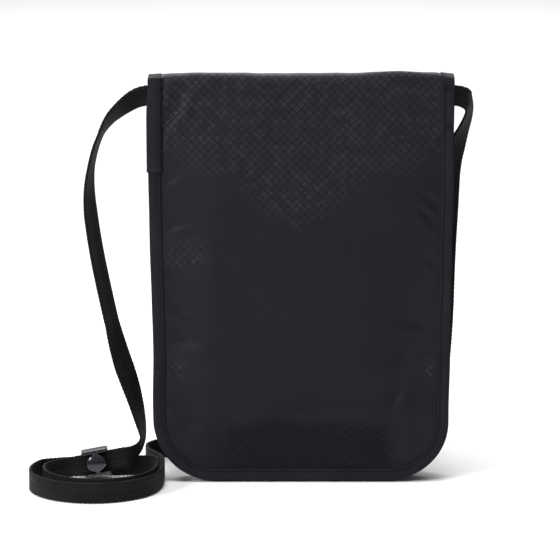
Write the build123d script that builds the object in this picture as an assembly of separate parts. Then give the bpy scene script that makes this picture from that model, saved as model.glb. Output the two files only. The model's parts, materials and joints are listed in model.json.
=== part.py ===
from build123d import *
import os
from math import radians, tan

# Neck pouch wallet, millimetres. +Z is up, the flap faces -Y, and +X is to the right of someone
# looking at the flap. The origin is on the floor, under the middle of the pouch.

# ---- driving dimensions of the pouch ----
flap_width = 145.0          # across the bound edges of the flap
pouch_height = 198.0        # floor to the top of the fold
flap_corner = 30.0          # radius of the flap's lower corners
side_reveal = 1.5           # how far the flap stands past the body on each side
fold_thickness = 1.0        # cloth and facing across the top
mouth_gap = 2.5             # between the mouth of the compartments and the fold
hinge_seam = 0.5            # between the fold's rear edge and the back of the body
flap_lift = 1.0             # gap between the flap's lower edge and the floor
cloth = 0.4                 # one layer of lining cloth
outer_cloth = 0.6           # patterned cloth of the flap
binding_width = 6.0         # face of the woven edge tape
binding_wall = 1.0          # edge tape where it turns round the seam
binding_lip = 0.4           # edge tape on each face
fit = 0.05                  # between sewn layers
gap = 0.3                   # between pieces that move past each other
compartment_depth = 4.4     # room for a passport between divider and back lining

# ---- hook and loop closure ----
patch_width = 80.0
patch_height = 20.0
patch_low = 11.0
hook_thickness = 1.0
loop_thickness = 1.1

# ---- zips ----
coil_row = 1.6              # height of one row of teeth
coil_thickness = 1.4
coil_split = 1.0            # slot between the two rows
tape_reach = 5.5            # from the zip's centre line to the cloth
front_zip_drop = 44.5       # mouth to the zip's centre line
back_zip_drop = 36.5
zip_half_length = 56.0      # centre to the middle of an end stop
stop_length = 2.0
slider_length = 9.0
slider_width = 7.6
slider_post = 2.0           # length of the post that parts the rows
plate = 0.7
pull_clearance = 0.4        # between the closed flap and the front pull
pull_washer = 0.2           # between a pull and its slider
pull_thickness = 0.8
pull_width = 5.0
pull_length = 19.0          # pivot to the free end
pull_neck = 3.6             # width between the eye and the free end
pull_hole = 1.2             # radius of the hole in the free end
pivot_radius = 1.1          # post that the front pull swings on
front_eye_wall = 1.0
bar_radius = 0.45           # bar that the back pull hangs on
bar_post = 0.8
eye_wall = 0.65
eye_width = 2.6
neck_drop = 3.0             # eye to the top of the back pull's tab

# ---- pockets under the flap ----
slip_pocket_height = 104.0
hem_height = 7.0
hem_thickness = 0.4

# ---- strap ----
webbing_width = 10.0
webbing_thickness = 1.2
anchor_drop = 6.5           # mouth to the middle of the sewn end
anchor_depth = 12.0         # length sewn into the side seam
anchor_stand = 0.5          # length that shows outside the seam
tube_diameter = 4.0         # round section with the same area as the webbing
coil_height = 10.4

# ---- strap adjuster ----
adjuster_length = 13.0
adjuster_height = 13.4
bar_diameter = 2.2
rail_height = 1.7
adjuster_start = 12.0       # start of the straight stretch to the adjuster's middle
rail_round = 1.0

# ---- overlapped end of the flap's edge tape ----
overlap_width = 6.8
overlap_length = 45.0
overlap_thickness = 0.5

# ---- depths of the layers, counted from the flap's front face towards the back ----
flap_panel_depth = (binding_lip, binding_lip + outer_cloth)
flap_lining_depth = (flap_panel_depth[1], flap_panel_depth[1] + cloth)
flap_back = flap_lining_depth[1] + binding_lip
hook_depth = (flap_lining_depth[1], flap_lining_depth[1] + hook_thickness)
pull_front = flap_back + pull_clearance
pull_depth = (pull_front, pull_front + pull_thickness)
front_plate_start = pull_depth[1] + pull_washer
front_plate_depth = (front_plate_start, front_plate_start + plate)
front_coil_start = front_plate_depth[1] + gap
front_coil_depth = (front_coil_start, front_coil_start + coil_thickness)
front_panel_middle = sum(front_coil_depth) / 2
front_panel_depth = (front_panel_middle - cloth / 2, front_panel_middle + cloth / 2)
slip_depth = (front_panel_depth[0] - fit - cloth, front_panel_depth[0] - fit)
loop_depth = (slip_depth[0] - loop_thickness, slip_depth[0])
inner_plate_start = front_coil_depth[1] + gap
inner_plate_depth = (inner_plate_start, inner_plate_start + plate)
divider_start = inner_plate_depth[1] + gap
divider_depth = (divider_start, divider_start + cloth)
back_lining_start = divider_depth[1] + compartment_depth
back_lining_depth = (back_lining_start, back_lining_start + cloth)
back_inner_start = back_lining_depth[1] + gap
back_inner_plate_depth = (back_inner_start, back_inner_start + plate)
back_coil_start = back_inner_plate_depth[1] + gap
back_coil_depth = (back_coil_start, back_coil_start + coil_thickness)
back_panel_middle = sum(back_coil_depth) / 2
back_panel_depth = (back_panel_middle - cloth / 2, back_panel_middle + cloth / 2)
back_plate_start = back_coil_depth[1] + gap
back_plate_depth = (back_plate_start, back_plate_start + plate)
eye_radius = bar_radius + gap + eye_wall
bar_depth = back_plate_depth[1] + gap + eye_radius
binding_depth = (slip_depth[0] - fit - binding_lip, back_panel_depth[1] + fit + binding_lip)
pouch_back = bar_depth + eye_radius
middle_depth = (pouch_back - overlap_thickness) / 2     # the origin's plane

fold_low = pouch_height - fold_thickness
body_height = fold_low - mouth_gap
front_zip_height = body_height - front_zip_drop
back_zip_height = body_height - back_zip_drop
anchor_height = body_height - anchor_drop
body_width = flap_width - 2 * side_reveal
body_corner = flap_corner - side_reveal
inside = binding_wall + fit
through = 1.0               # how far a cutting solid stands past what it cuts


def at(depth):
    """Y of a layer's depth."""
    return depth - middle_depth


def sheet(width, low, high, corner, depth):
    """A flat layer facing the front, with its two lower corners rounded."""
    outline = Rectangle(width, high - low, align=(Align.CENTER, Align.MIN))
    if corner > 0:
        outline = fillet(outline.vertices().sort_by(Axis.Y)[:2], corner)
    plane = Plane(origin=(0, at(depth[1]), low), x_dir=(1, 0, 0), z_dir=(0, -1, 0))
    return extrude(plane * outline, amount=depth[1] - depth[0])


def block(x, depth, z):
    """A box from its spans in X, depth and Z."""
    size = (x[1] - x[0], depth[1] - depth[0], z[1] - z[0])
    middle = (sum(x) / 2, at(sum(depth) / 2), sum(z) / 2)
    return Pos(*middle) * Box(*size)


def edge_channel(width, low, high, corner, depth, lip, wall):
    """Edge tape folded round the sides and the bottom: a wall and two lips, open at the top."""
    outside = sheet(width, low, high, corner, depth)
    hollow = sheet(width - 2 * wall, low + wall, high + wall, corner - wall,
                   (depth[0] + lip, depth[1] - lip))
    face = sheet(width - 2 * binding_width, low + binding_width, high + binding_width,
                 corner - binding_width, (depth[0] - through, depth[1] + through))
    return outside - hollow - face


def body_layer(depth, low_cut=None, high=body_height):
    """A layer of the body inside its edge tape, from low_cut (or the bottom) up to high."""
    layer = sheet(body_width - 2 * inside, inside, high, body_corner - inside, depth)
    if low_cut is not None:
        keep = (depth[0] - through, depth[1] + through)
        layer = layer & block((-body_width, body_width), keep, (low_cut, high + through))
    return layer


# ---- body ----
def body_binding():
    channel = edge_channel(body_width, 0, body_height, body_corner, binding_depth, binding_lip, binding_wall)
    for side in (-1, 1):
        channel -= strap_anchor(side, fit)
    return channel


def strap_anchor(side, room=0.0):
    """End of the webbing, sewn into the side seam under the mouth."""
    front = front_panel_depth[1] + 2 * fit
    outer = body_width / 2 + anchor_stand
    half = webbing_width / 2 + room
    span = sorted((side * (outer - anchor_depth - room), side * outer))
    return block(span, (front - room, front + webbing_thickness + room),
                 (anchor_height - half, anchor_height + half))


# ---- zips ----
def zip_tape(height, depth, side):
    reach = sorted((height + side * (coil_split / 2 + coil_row), height + side * tape_reach))
    half = body_width / 2 - inside
    return block((-half, half), depth, reach)


def zip_teeth(height, depth):
    """Two rows of woven teeth with the slot that the slider's post runs in."""
    half = zip_half_length - stop_length / 2
    rows = []
    for side in (-1, 1):
        reach = sorted((height + side * coil_split / 2, height + side * (coil_split / 2 + coil_row)))
        rows.append(block((-half, half), depth, reach))
    return Compound(children=rows)


def zip_stops(height, depth):
    """The metal stop across both rows at each end."""
    half = coil_split / 2 + coil_row
    stops = []
    for side in (-1, 1):
        middle = side * zip_half_length
        span = (middle - stop_length / 2, middle + stop_length / 2)
        stops.append(block(span, depth, (height - half, height + half)))
    return Compound(children=stops)


slider_rest = zip_half_length - stop_length / 2 - slider_length / 2 - gap
slider_travel = 2 * slider_rest


def slider(height, outer, inner, cloth_depth):
    """Two plates joined by a post, with flanges beside the teeth."""
    span = (slider_rest - slider_length / 2, slider_rest + slider_length / 2)
    half = slider_width / 2
    flange = (coil_split / 2 + coil_row + gap, half)
    front, back = min(outer[0], inner[0]), max(outer[1], inner[1])
    shell = block(span, outer, (height - half, height + half))
    shell += block(span, inner, (height - half, height + half))
    for side in (-1, 1):
        reach = sorted((height + side * flange[0], height + side * flange[1]))
        wall = block(span, (front, back), reach)
        room = (cloth_depth[0] - gap, cloth_depth[1] + gap)
        slot = block((span[0] - through, span[1] + through), room, reach)
        shell += wall - slot
    post_half = coil_split / 2 - gap
    shell += block((span[1] - slider_post, span[1]), (front, back), (height - post_half, height + post_half))
    return shell


def pull_tab(top, depth, height):
    """Flat tab from its top down to a rounded end with a hole, measured from the pivot's height."""
    middle = pull_length - pull_width / 2
    neck = Pos(0, (top - middle) / 2) * Rectangle(pull_neck, middle + top)
    end = Pos(0, -middle) * Circle(pull_width / 2)
    outline = neck + end - Pos(0, -middle) * Circle(pull_hole)
    plane = Plane(origin=(slider_rest, at(depth[1]), height), x_dir=(1, 0, 0), z_dir=(0, -1, 0))
    return extrude(plane * outline, amount=depth[1] - depth[0])


def front_slider():
    """Slider of the front pocket, with the round post that its pull turns on."""
    body = slider(front_zip_height, front_plate_depth, inner_plate_depth, front_panel_depth)
    post_length = front_plate_depth[0] - pull_depth[0]
    post = Cylinder(pivot_radius, post_length)
    middle = at(pull_depth[0] + post_length / 2)
    return body + Pos(slider_rest, middle, front_zip_height) * Rot(90, 0, 0) * post


def front_pull():
    """Tab that swings on the post, in the plane of the cloth."""
    pivot = Pos(slider_rest, at(sum(pull_depth) / 2), front_zip_height) * Rot(90, 0, 0)
    eye = pivot * Cylinder(pivot_radius + gap + front_eye_wall, pull_thickness)
    hole = pivot * Cylinder(pivot_radius + gap, pull_thickness + through)
    return eye + pull_tab(0, pull_depth, front_zip_height) - hole



def back_slider():
    """Slider of the back pocket, with the bar between two posts that its pull hangs on."""
    body = slider(back_zip_height, back_plate_depth, back_inner_plate_depth, back_panel_depth)
    half = eye_width / 2 + gap + bar_post
    bar = Cylinder(bar_radius, 2 * half)
    body += Pos(slider_rest, at(bar_depth), back_zip_height) * Rot(0, 90, 0) * bar
    for side in (-1, 1):
        span = sorted((slider_rest + side * (half - bar_post), slider_rest + side * half))
        reach = (back_zip_height - bar_radius, back_zip_height + bar_radius)
        body += block(span, (back_plate_depth[0], bar_depth + bar_radius), reach)
    return body


def back_pull():
    """Tab that hangs from the bar and lifts away from the cloth."""
    pivot = Pos(slider_rest, at(bar_depth), back_zip_height) * Rot(0, 90, 0)
    eye = pivot * Cylinder(eye_radius, eye_width)
    depth = (bar_depth - pull_thickness / 2, bar_depth + pull_thickness / 2)
    tab_top = -eye_radius - neck_drop
    half = eye_width / 2
    span = (slider_rest - half, slider_rest + half)
    neck = block(span, depth, (back_zip_height + tab_top, back_zip_height))
    hole = pivot * Cylinder(bar_radius + gap, eye_width + through)
    return eye + neck + pull_tab(tab_top, depth, back_zip_height) - hole


# ---- flap ----
fold_depth = (binding_lip, binding_depth[1] - hinge_seam)


def flap_layer(depth):
    """A layer of the flap inside its edge tape."""
    return sheet(flap_width - 2 * inside, flap_lift + inside, fold_low, flap_corner - inside, depth)


def flap_binding():
    return edge_channel(flap_width, flap_lift, fold_low, flap_corner,
                        (0, flap_back), binding_lip, binding_wall)


def flap_top_fold():
    """The cloth that runs from the front of the flap back over the mouths to the hinge seam."""
    half = flap_width / 2 - binding_wall
    return block((-half, half), fold_depth, (fold_low, pouch_height))


def binding_overlap_end():
    edge = -flap_width / 2
    return block((edge, edge + overlap_width), (-overlap_thickness, 0), (fold_low - overlap_length, fold_low))


def patch(depth):
    return block((-patch_width / 2, patch_width / 2), depth, (patch_low, patch_low + patch_height))


# ---- strap ----
left_route = [
    (-71.5, -2.9, 188.0), (-76.5, -2.9, 188.0), (-85.0, -3.4, 182.4), (-92.5, -2.0, 175.0),
    (-98.8, 0.0, 162.0), (-102.3, 2.0, 142.0), (-99.3, 5.5, 114.0), (-93.8, 7.5, 85.0),
    (-88.5, 10.5, 60.0), (-82.0, 12.5, 40.0), (-78.8, 13.4, 26.5), (-77.3, 10.8, 17.5),
    (-78.9, 4.2, 13.0), (-83.56, -2.21, 11.28), (-87.5, -2.5, 10.6),
]
flat_start = Vector(-87.5, -2.5, 10.6)      # straight stretch through the adjuster
flat_end = Vector(-119.0, -4.85, 5.2)
right_route = [
    (-57.0, 15.0, 5.0), (-46.0, 15.0, 5.0), (-28.0, 18.5, 5.0), (0.0, 16.5, 5.0),
    (26.0, 18.5, 5.0), (46.0, 17.5, 5.4), (58.5, 15.0, 9.5), (65.0, 14.5, 20.0),
    (67.5, 14.8, 42.0), (69.8, 14.2, 75.0), (70.4, 15.0, 107.0), (71.8, 14.0, 135.0),
    (72.6, 12.5, 153.0), (76.0, 9.5, 166.0), (79.6, 5.0, 176.0), (80.4, 0.0, 184.0),
    (76.6, -2.9, 188.0), (71.5, -2.9, 188.0),
]

coil_outer = [
    (-112.0, 13.0), (-124.0, 3.0), (-132.0, -12.0), (-132.6, -28.0), (-124.0, -42.0), (-108.0, -49.6),
    (-88.0, -50.6), (-73.0, -42.5), (-66.5, -28.0), (-66.3, -12.0), (-66.3, 7.0), (-61.5, 12.0),
    (-57.0, 12.5),
]
coil_rear = [
    (-57.0, 17.5), (-57.5, 30.0), (-62.0, 41.5), (-71.0, 44.0), (-80.0, 37.5), (-87.5, 25.0),
    (-97.0, 16.5), (-112.0, 13.0),
]
coil_hole = [
    (-76.0, 27.0), (-71.5, 18.0), (-72.8, 5.0), (-73.5, -12.0), (-77.5, -27.0), (-87.0, -35.0),
    (-101.0, -36.6), (-113.0, -29.5), (-118.5, -17.0), (-116.5, -6.0), (-110.0, 3.5), (-96.0, 6.5),
    (-84.0, 14.0),
]


def rounded_path(points):
    """Straight runs joined by tangent arcs as large as the shorter neighbouring run allows."""
    corners = [Vector(*point) for point in points]
    radii = []
    for before, corner, after in zip(corners, corners[1:], corners[2:]):
        arrive, leave = corner - before, after - corner
        turn = radians(arrive.get_angle(leave))
        radii.append(0.45 * min(arrive.length, leave.length) / tan(turn / 2))
    return FilletPolyline(*points, radius=radii), radii


def strap_tube(name, points):
    path, radii = rounded_path(points)
    section = Plane(origin=path @ 0, z_dir=path % 0) * Circle(tube_diameter / 2)
    tube = sweep(section, path=path)
    ideal = section.area * path.length
    print(name, "length", round(path.length, 1), "volume share", round(tube.volume / ideal, 4),
          "smallest radius", round(min(radii), 1))
    print("  radii", [round(radius, 1) for radius in radii])
    return tube


def flat_frame():
    """Plane along the straight stretch of webbing through the adjuster, and its length."""
    along = flat_end - flat_start
    upright = along.cross(Vector(0, 0, 1).cross(along)).normalized()
    return Plane(origin=flat_start, x_dir=along.normalized(), z_dir=upright), along.length


def strap_flat_run():
    plane, length = flat_frame()
    return plane * Pos(length / 2, 0, 0) * Box(length, webbing_thickness, webbing_width)


def strap_coil():
    """Outer shape of the two loose turns that stand on their edge on the floor."""
    outer = Spline(*coil_outer) + Line(coil_outer[-1], coil_rear[0]) + Spline(*coil_rear)
    ring = make_face(outer.edges()) - make_face(Spline(*coil_hole, periodic=True).edges())
    return extrude(ring, amount=coil_height)


def strap_adjuster():
    """Slide adjuster: a middle bar in front of the webbing, two end bars behind, two rails."""
    plane, _ = flat_frame()
    half_gap = webbing_thickness / 2 + gap
    inner_height = adjuster_height - 2 * rail_height
    bar = Cylinder(bar_diameter / 2, adjuster_height - rail_height)
    bar_offset = half_gap + bar_diameter / 2
    end = adjuster_length / 2 - bar_diameter / 2
    body = Pos(0, bar_offset, 0) * bar
    for side in (-1, 1):
        body += Pos(side * end, -bar_offset, 0) * bar
        rail = Box(adjuster_length, 2 * (half_gap + bar_diameter), rail_height)
        rail = fillet(rail.edges().filter_by(Axis.Z), rail_round)
        body += Pos(0, 0, side * (inner_height + rail_height) / 2) * rail
    return plane * Pos(adjuster_start, 0, 0) * body


nodes = {
    "back_panel_upper": body_layer(back_panel_depth, back_zip_height + tape_reach),
    "back_panel_lower": body_layer(back_panel_depth, None, back_zip_height - tape_reach),
    "back_zip_tape_upper": zip_tape(back_zip_height, back_panel_depth, 1),
    "back_zip_tape_lower": zip_tape(back_zip_height, back_panel_depth, -1),
    "back_zip_teeth": zip_teeth(back_zip_height, back_coil_depth),
    "back_zip_stops": zip_stops(back_zip_height, back_coil_depth),
    "back_zip_slider": back_slider(),
    "back_zip_pull": back_pull(),
    "back_lining": body_layer(back_lining_depth),
    "divider_panel": body_layer(divider_depth),
    "front_panel_upper": body_layer(front_panel_depth, front_zip_height + tape_reach),
    "front_panel_lower": body_layer(front_panel_depth, None, front_zip_height - tape_reach),
    "front_zip_tape_upper": zip_tape(front_zip_height, front_panel_depth, 1),
    "front_zip_tape_lower": zip_tape(front_zip_height, front_panel_depth, -1),
    "front_zip_teeth": zip_teeth(front_zip_height, front_coil_depth),
    "front_zip_stops": zip_stops(front_zip_height, front_coil_depth),
    "front_zip_slider": front_slider(),
    "front_zip_pull": front_pull(),
    "slip_pocket_panel": body_layer(slip_depth, None, slip_pocket_height),
    "slip_pocket_hem": block((-body_width / 2 + binding_width + gap, body_width / 2 - binding_width - gap),
                             (slip_depth[0] - hem_thickness, slip_depth[0]),
                             (slip_pocket_height - hem_height, slip_pocket_height)),
    "loop_patch": patch(loop_depth),
    "body_binding": body_binding(),
    "strap_anchor_left": strap_anchor(-1),
    "strap_anchor_right": strap_anchor(1),
    "flap_panel": flap_layer(flap_panel_depth),
    "flap_lining": flap_layer(flap_lining_depth),
    "flap_binding": flap_binding(),
    "flap_top_fold": flap_top_fold(),
    "binding_overlap_end": binding_overlap_end(),
    "hook_patch": patch(hook_depth),
    "strap_left_run": strap_tube("strap_left_run", left_route),
    "strap_flat_run": strap_flat_run(),
    "strap_coil": strap_coil(),
    "strap_right_run": strap_tube("strap_right_run", right_route),
    "strap_adjuster": strap_adjuster(),
}

os.makedirs("parts", exist_ok=True)
for name, solid in nodes.items():
    export_step(solid, f"parts/{name}.step")
print("hinge axis y", round(at(binding_depth[1]), 3), "z", body_height)
print("slider rest x", round(slider_rest, 3), "travel", round(slider_travel, 3))
print("back pull pivot y", round(at(bar_depth), 3), "compartment y",
      round(at(divider_depth[1]), 3), round(at(back_lining_depth[0]), 3))
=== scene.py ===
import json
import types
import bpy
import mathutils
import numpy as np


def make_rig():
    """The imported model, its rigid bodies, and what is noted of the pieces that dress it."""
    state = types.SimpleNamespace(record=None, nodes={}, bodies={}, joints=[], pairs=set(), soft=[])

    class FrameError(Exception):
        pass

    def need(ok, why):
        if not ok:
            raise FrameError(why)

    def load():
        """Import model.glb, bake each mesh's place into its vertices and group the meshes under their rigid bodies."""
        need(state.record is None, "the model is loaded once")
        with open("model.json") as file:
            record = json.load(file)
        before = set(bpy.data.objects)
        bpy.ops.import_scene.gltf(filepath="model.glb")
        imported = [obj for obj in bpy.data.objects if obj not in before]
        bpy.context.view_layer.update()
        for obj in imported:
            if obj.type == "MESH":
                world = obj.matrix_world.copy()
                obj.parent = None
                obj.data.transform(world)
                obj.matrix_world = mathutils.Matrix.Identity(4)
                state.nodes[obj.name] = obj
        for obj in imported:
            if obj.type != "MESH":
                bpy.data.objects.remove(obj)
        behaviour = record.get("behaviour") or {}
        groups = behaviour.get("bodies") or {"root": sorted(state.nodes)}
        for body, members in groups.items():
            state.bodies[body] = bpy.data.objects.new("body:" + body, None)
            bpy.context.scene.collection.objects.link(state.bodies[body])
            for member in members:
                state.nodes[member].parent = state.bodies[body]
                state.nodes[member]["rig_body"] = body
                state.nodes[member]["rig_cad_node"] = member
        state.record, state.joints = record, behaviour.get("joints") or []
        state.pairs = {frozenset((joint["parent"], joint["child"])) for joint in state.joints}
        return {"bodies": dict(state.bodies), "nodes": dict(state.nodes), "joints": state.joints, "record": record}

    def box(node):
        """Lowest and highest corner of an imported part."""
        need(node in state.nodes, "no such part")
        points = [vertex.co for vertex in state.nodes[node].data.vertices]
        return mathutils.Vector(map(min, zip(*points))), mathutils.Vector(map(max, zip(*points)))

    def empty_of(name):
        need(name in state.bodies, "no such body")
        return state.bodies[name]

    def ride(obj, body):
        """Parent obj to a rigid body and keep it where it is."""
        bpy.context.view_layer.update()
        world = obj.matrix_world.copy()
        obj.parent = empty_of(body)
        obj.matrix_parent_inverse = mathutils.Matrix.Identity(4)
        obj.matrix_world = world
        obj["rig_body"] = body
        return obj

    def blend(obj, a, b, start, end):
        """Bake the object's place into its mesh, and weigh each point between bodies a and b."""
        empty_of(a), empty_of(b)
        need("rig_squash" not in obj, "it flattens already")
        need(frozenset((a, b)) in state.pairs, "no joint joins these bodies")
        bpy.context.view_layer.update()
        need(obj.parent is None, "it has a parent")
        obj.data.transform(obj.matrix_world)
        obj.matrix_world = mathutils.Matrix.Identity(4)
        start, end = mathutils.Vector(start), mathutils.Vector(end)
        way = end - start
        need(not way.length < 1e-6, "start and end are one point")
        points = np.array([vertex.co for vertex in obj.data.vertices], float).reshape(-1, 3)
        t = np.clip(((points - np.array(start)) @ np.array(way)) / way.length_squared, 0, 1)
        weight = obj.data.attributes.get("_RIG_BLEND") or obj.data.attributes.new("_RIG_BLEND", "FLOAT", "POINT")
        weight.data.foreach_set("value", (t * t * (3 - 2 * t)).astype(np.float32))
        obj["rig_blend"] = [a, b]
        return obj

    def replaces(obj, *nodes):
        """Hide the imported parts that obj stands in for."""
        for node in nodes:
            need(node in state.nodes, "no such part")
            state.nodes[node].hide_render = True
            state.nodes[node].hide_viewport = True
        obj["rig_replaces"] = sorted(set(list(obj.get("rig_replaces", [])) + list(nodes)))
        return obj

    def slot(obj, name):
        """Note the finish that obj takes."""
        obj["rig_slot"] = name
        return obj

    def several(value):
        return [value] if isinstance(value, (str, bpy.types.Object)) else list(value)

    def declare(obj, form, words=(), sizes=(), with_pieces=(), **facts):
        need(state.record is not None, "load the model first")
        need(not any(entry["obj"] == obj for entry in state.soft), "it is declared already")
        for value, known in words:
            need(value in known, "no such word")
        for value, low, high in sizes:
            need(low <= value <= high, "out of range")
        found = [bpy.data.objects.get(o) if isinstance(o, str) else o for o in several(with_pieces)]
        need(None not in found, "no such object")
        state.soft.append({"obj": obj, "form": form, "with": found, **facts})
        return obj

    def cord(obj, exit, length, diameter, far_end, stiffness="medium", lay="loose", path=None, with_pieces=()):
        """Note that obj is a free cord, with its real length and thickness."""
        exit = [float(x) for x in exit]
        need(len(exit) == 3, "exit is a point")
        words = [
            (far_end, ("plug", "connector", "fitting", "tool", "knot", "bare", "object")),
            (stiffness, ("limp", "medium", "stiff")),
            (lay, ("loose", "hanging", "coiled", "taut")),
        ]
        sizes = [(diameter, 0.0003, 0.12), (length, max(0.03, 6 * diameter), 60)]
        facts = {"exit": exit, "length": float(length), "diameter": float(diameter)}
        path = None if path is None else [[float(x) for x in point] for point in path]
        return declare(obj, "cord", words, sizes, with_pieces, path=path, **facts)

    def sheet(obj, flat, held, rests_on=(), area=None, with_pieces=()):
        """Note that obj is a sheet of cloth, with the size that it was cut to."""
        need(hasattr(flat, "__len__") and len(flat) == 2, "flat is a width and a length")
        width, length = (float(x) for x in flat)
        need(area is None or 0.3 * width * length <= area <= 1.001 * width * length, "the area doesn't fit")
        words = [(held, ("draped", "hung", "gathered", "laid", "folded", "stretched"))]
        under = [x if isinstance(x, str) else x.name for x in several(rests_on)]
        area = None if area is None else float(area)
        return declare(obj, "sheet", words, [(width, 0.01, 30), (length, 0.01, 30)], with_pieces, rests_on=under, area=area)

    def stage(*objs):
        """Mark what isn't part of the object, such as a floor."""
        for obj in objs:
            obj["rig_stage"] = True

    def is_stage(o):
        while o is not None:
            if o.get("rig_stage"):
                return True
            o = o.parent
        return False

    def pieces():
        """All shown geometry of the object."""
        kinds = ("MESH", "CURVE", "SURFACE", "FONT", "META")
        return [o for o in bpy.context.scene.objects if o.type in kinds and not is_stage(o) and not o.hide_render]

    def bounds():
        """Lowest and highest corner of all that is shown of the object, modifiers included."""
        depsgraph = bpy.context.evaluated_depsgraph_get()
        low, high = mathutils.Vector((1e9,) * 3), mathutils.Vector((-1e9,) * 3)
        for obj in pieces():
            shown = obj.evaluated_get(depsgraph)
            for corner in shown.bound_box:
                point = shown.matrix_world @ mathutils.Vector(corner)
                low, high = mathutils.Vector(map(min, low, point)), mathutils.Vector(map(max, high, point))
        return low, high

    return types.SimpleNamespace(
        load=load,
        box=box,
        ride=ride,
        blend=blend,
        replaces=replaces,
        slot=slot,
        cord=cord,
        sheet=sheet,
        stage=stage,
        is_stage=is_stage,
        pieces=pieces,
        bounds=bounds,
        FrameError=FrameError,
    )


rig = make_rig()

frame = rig.load()

import json
import math
import bmesh
import bpy
from mathutils import Matrix, Vector, noise

cadBounds = [list(corner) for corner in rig.bounds()]


# everyday moves
def activate(piece):
    bpy.ops.object.select_all(action="DESELECT")
    piece.select_set(True)
    bpy.context.view_layer.objects.active = piece


def openMesh(piece, mode="VERT"):
    activate(piece)
    bpy.ops.object.mode_set(mode="EDIT")
    bpy.ops.mesh.select_mode(type=mode)
    bpy.ops.mesh.select_all(action="DESELECT")


def closeMesh():
    bpy.ops.object.mode_set(mode="OBJECT")


def pick(piece, kind, rule):
    # selects the vertices, edges or faces that the rule accepts
    mesh = bmesh.from_edit_mesh(piece.data)
    for item in getattr(mesh, kind):
        item.select_set(False)
    for item in getattr(mesh, kind):
        if rule(item):
            item.select_set(True)
    bmesh.update_edit_mesh(piece.data)


def applyPlace(piece):
    activate(piece)
    bpy.ops.object.transform_apply(location=True, rotation=True, scale=True)


def finishWith(piece, kind, **values):
    activate(piece)
    modifier = piece.modifiers.new(kind.title(), kind)
    for name, value in values.items():
        setattr(modifier, name, value)
    bpy.ops.object.modifier_apply(modifier=modifier.name)


def smooth(piece, angle=40):
    activate(piece)
    bpy.ops.object.shade_smooth_by_angle(angle=math.radians(angle))


def dress(piece, material, body, slot=None, *nodes):
    # finish, body, the record's slot and the CAD nodes that the piece stands for
    piece.data.materials.clear()
    piece.data.materials.append(material)
    if body:
        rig.ride(piece, body)
    if slot:
        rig.slot(piece, slot)
    if nodes:
        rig.replaces(piece, *nodes)
    return piece


def joined(pieces, name):
    bpy.ops.object.select_all(action="DESELECT")
    for piece in pieces:
        piece.select_set(True)
    bpy.context.view_layer.objects.active = pieces[0]
    bpy.ops.object.join()
    pieces[0].name = name
    return pieces[0]


def evenRows(low, high, count):
    return [low + (high - low) * k / count for k in range(count + 1)]


def wobble(size, x, y, z):
    # smooth noise of the given height
    return size * noise.noise(Vector((x, y, z)))


def ease(value):
    value = min(max(value, 0.0), 1.0)
    return value * value * (3 - 2 * value)


def alongList(points, x):
    # smooth value at x from a short list of (x, value)
    if x <= points[0][0]:
        return points[0][1]
    for (x0, v0), (x1, v1) in zip(points, points[1:]):
        if x <= x1:
            return v0 + (v1 - v0) * ease((x - x0) / (x1 - x0))
    return points[-1][1]


# camera, floor and light
studio = {
    "aim": (-0.010, -0.004, 0.099),
    "distance": 1.3,
    "elevation": 11.0,
    "lens": 174.0,
    "floorColour": (0.86, 0.86, 0.87, 1),
    "worldColour": (0.96, 0.975, 1.0, 1),
    "worldStrength": 0.18,
    # name, place, size, power
    "lights": [
        ("keySoftbox", (-1.15, -0.85, 0.75), 0.45, 18.0),
        ("topSoftbox", (-0.1, -0.25, 1.4), 0.6, 18.0),
        ("backSoftbox", (0.0, 2.1, 2.0), 2.6, 66.0),
    ],
}


def buildStudio():
    tilt = math.radians(studio["elevation"])
    aim = Vector(studio["aim"])
    place = aim + studio["distance"] * Vector((0, -math.cos(tilt), math.sin(tilt)))
    bpy.ops.object.camera_add(location=place)
    camera = bpy.context.object
    camera.rotation_euler = (aim - place).to_track_quat("-Z", "Y").to_euler()
    camera.data.lens = studio["lens"]
    camera.data.sensor_width = 36
    camera.data.clip_end = 50
    bpy.context.scene.camera = camera
    bpy.ops.mesh.primitive_plane_add(size=14, location=(0, 3, 0))
    floor = bpy.context.object
    floor.name = "floor"
    applyPlace(floor)
    paper = bpy.data.materials.new("paleFloor")
    paper.use_nodes = True
    shader = paper.node_tree.nodes["Principled BSDF"]
    shader.inputs["Base Color"].default_value = studio["floorColour"]
    shader.inputs["Roughness"].default_value = 0.9
    floor.data.materials.append(paper)
    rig.stage(floor)
    world = bpy.data.worlds.new("softWorld")
    world.use_nodes = True
    background = world.node_tree.nodes["Background"]
    background.inputs["Color"].default_value = studio["worldColour"]
    background.inputs["Strength"].default_value = studio["worldStrength"]
    bpy.context.scene.world = world
    for name, spot, size, power in studio["lights"]:
        bpy.ops.object.light_add(type="AREA", location=spot)
        lamp = bpy.context.object
        lamp.name = name
        lamp.rotation_euler = (Vector((0, 0, 0.09)) - Vector(spot)).to_track_quat("-Z", "Y").to_euler()
        lamp.data.size = size
        lamp.data.energy = power
    bpy.context.scene.view_settings.view_transform = "Standard"
    print("studio ready")


buildStudio()


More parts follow.
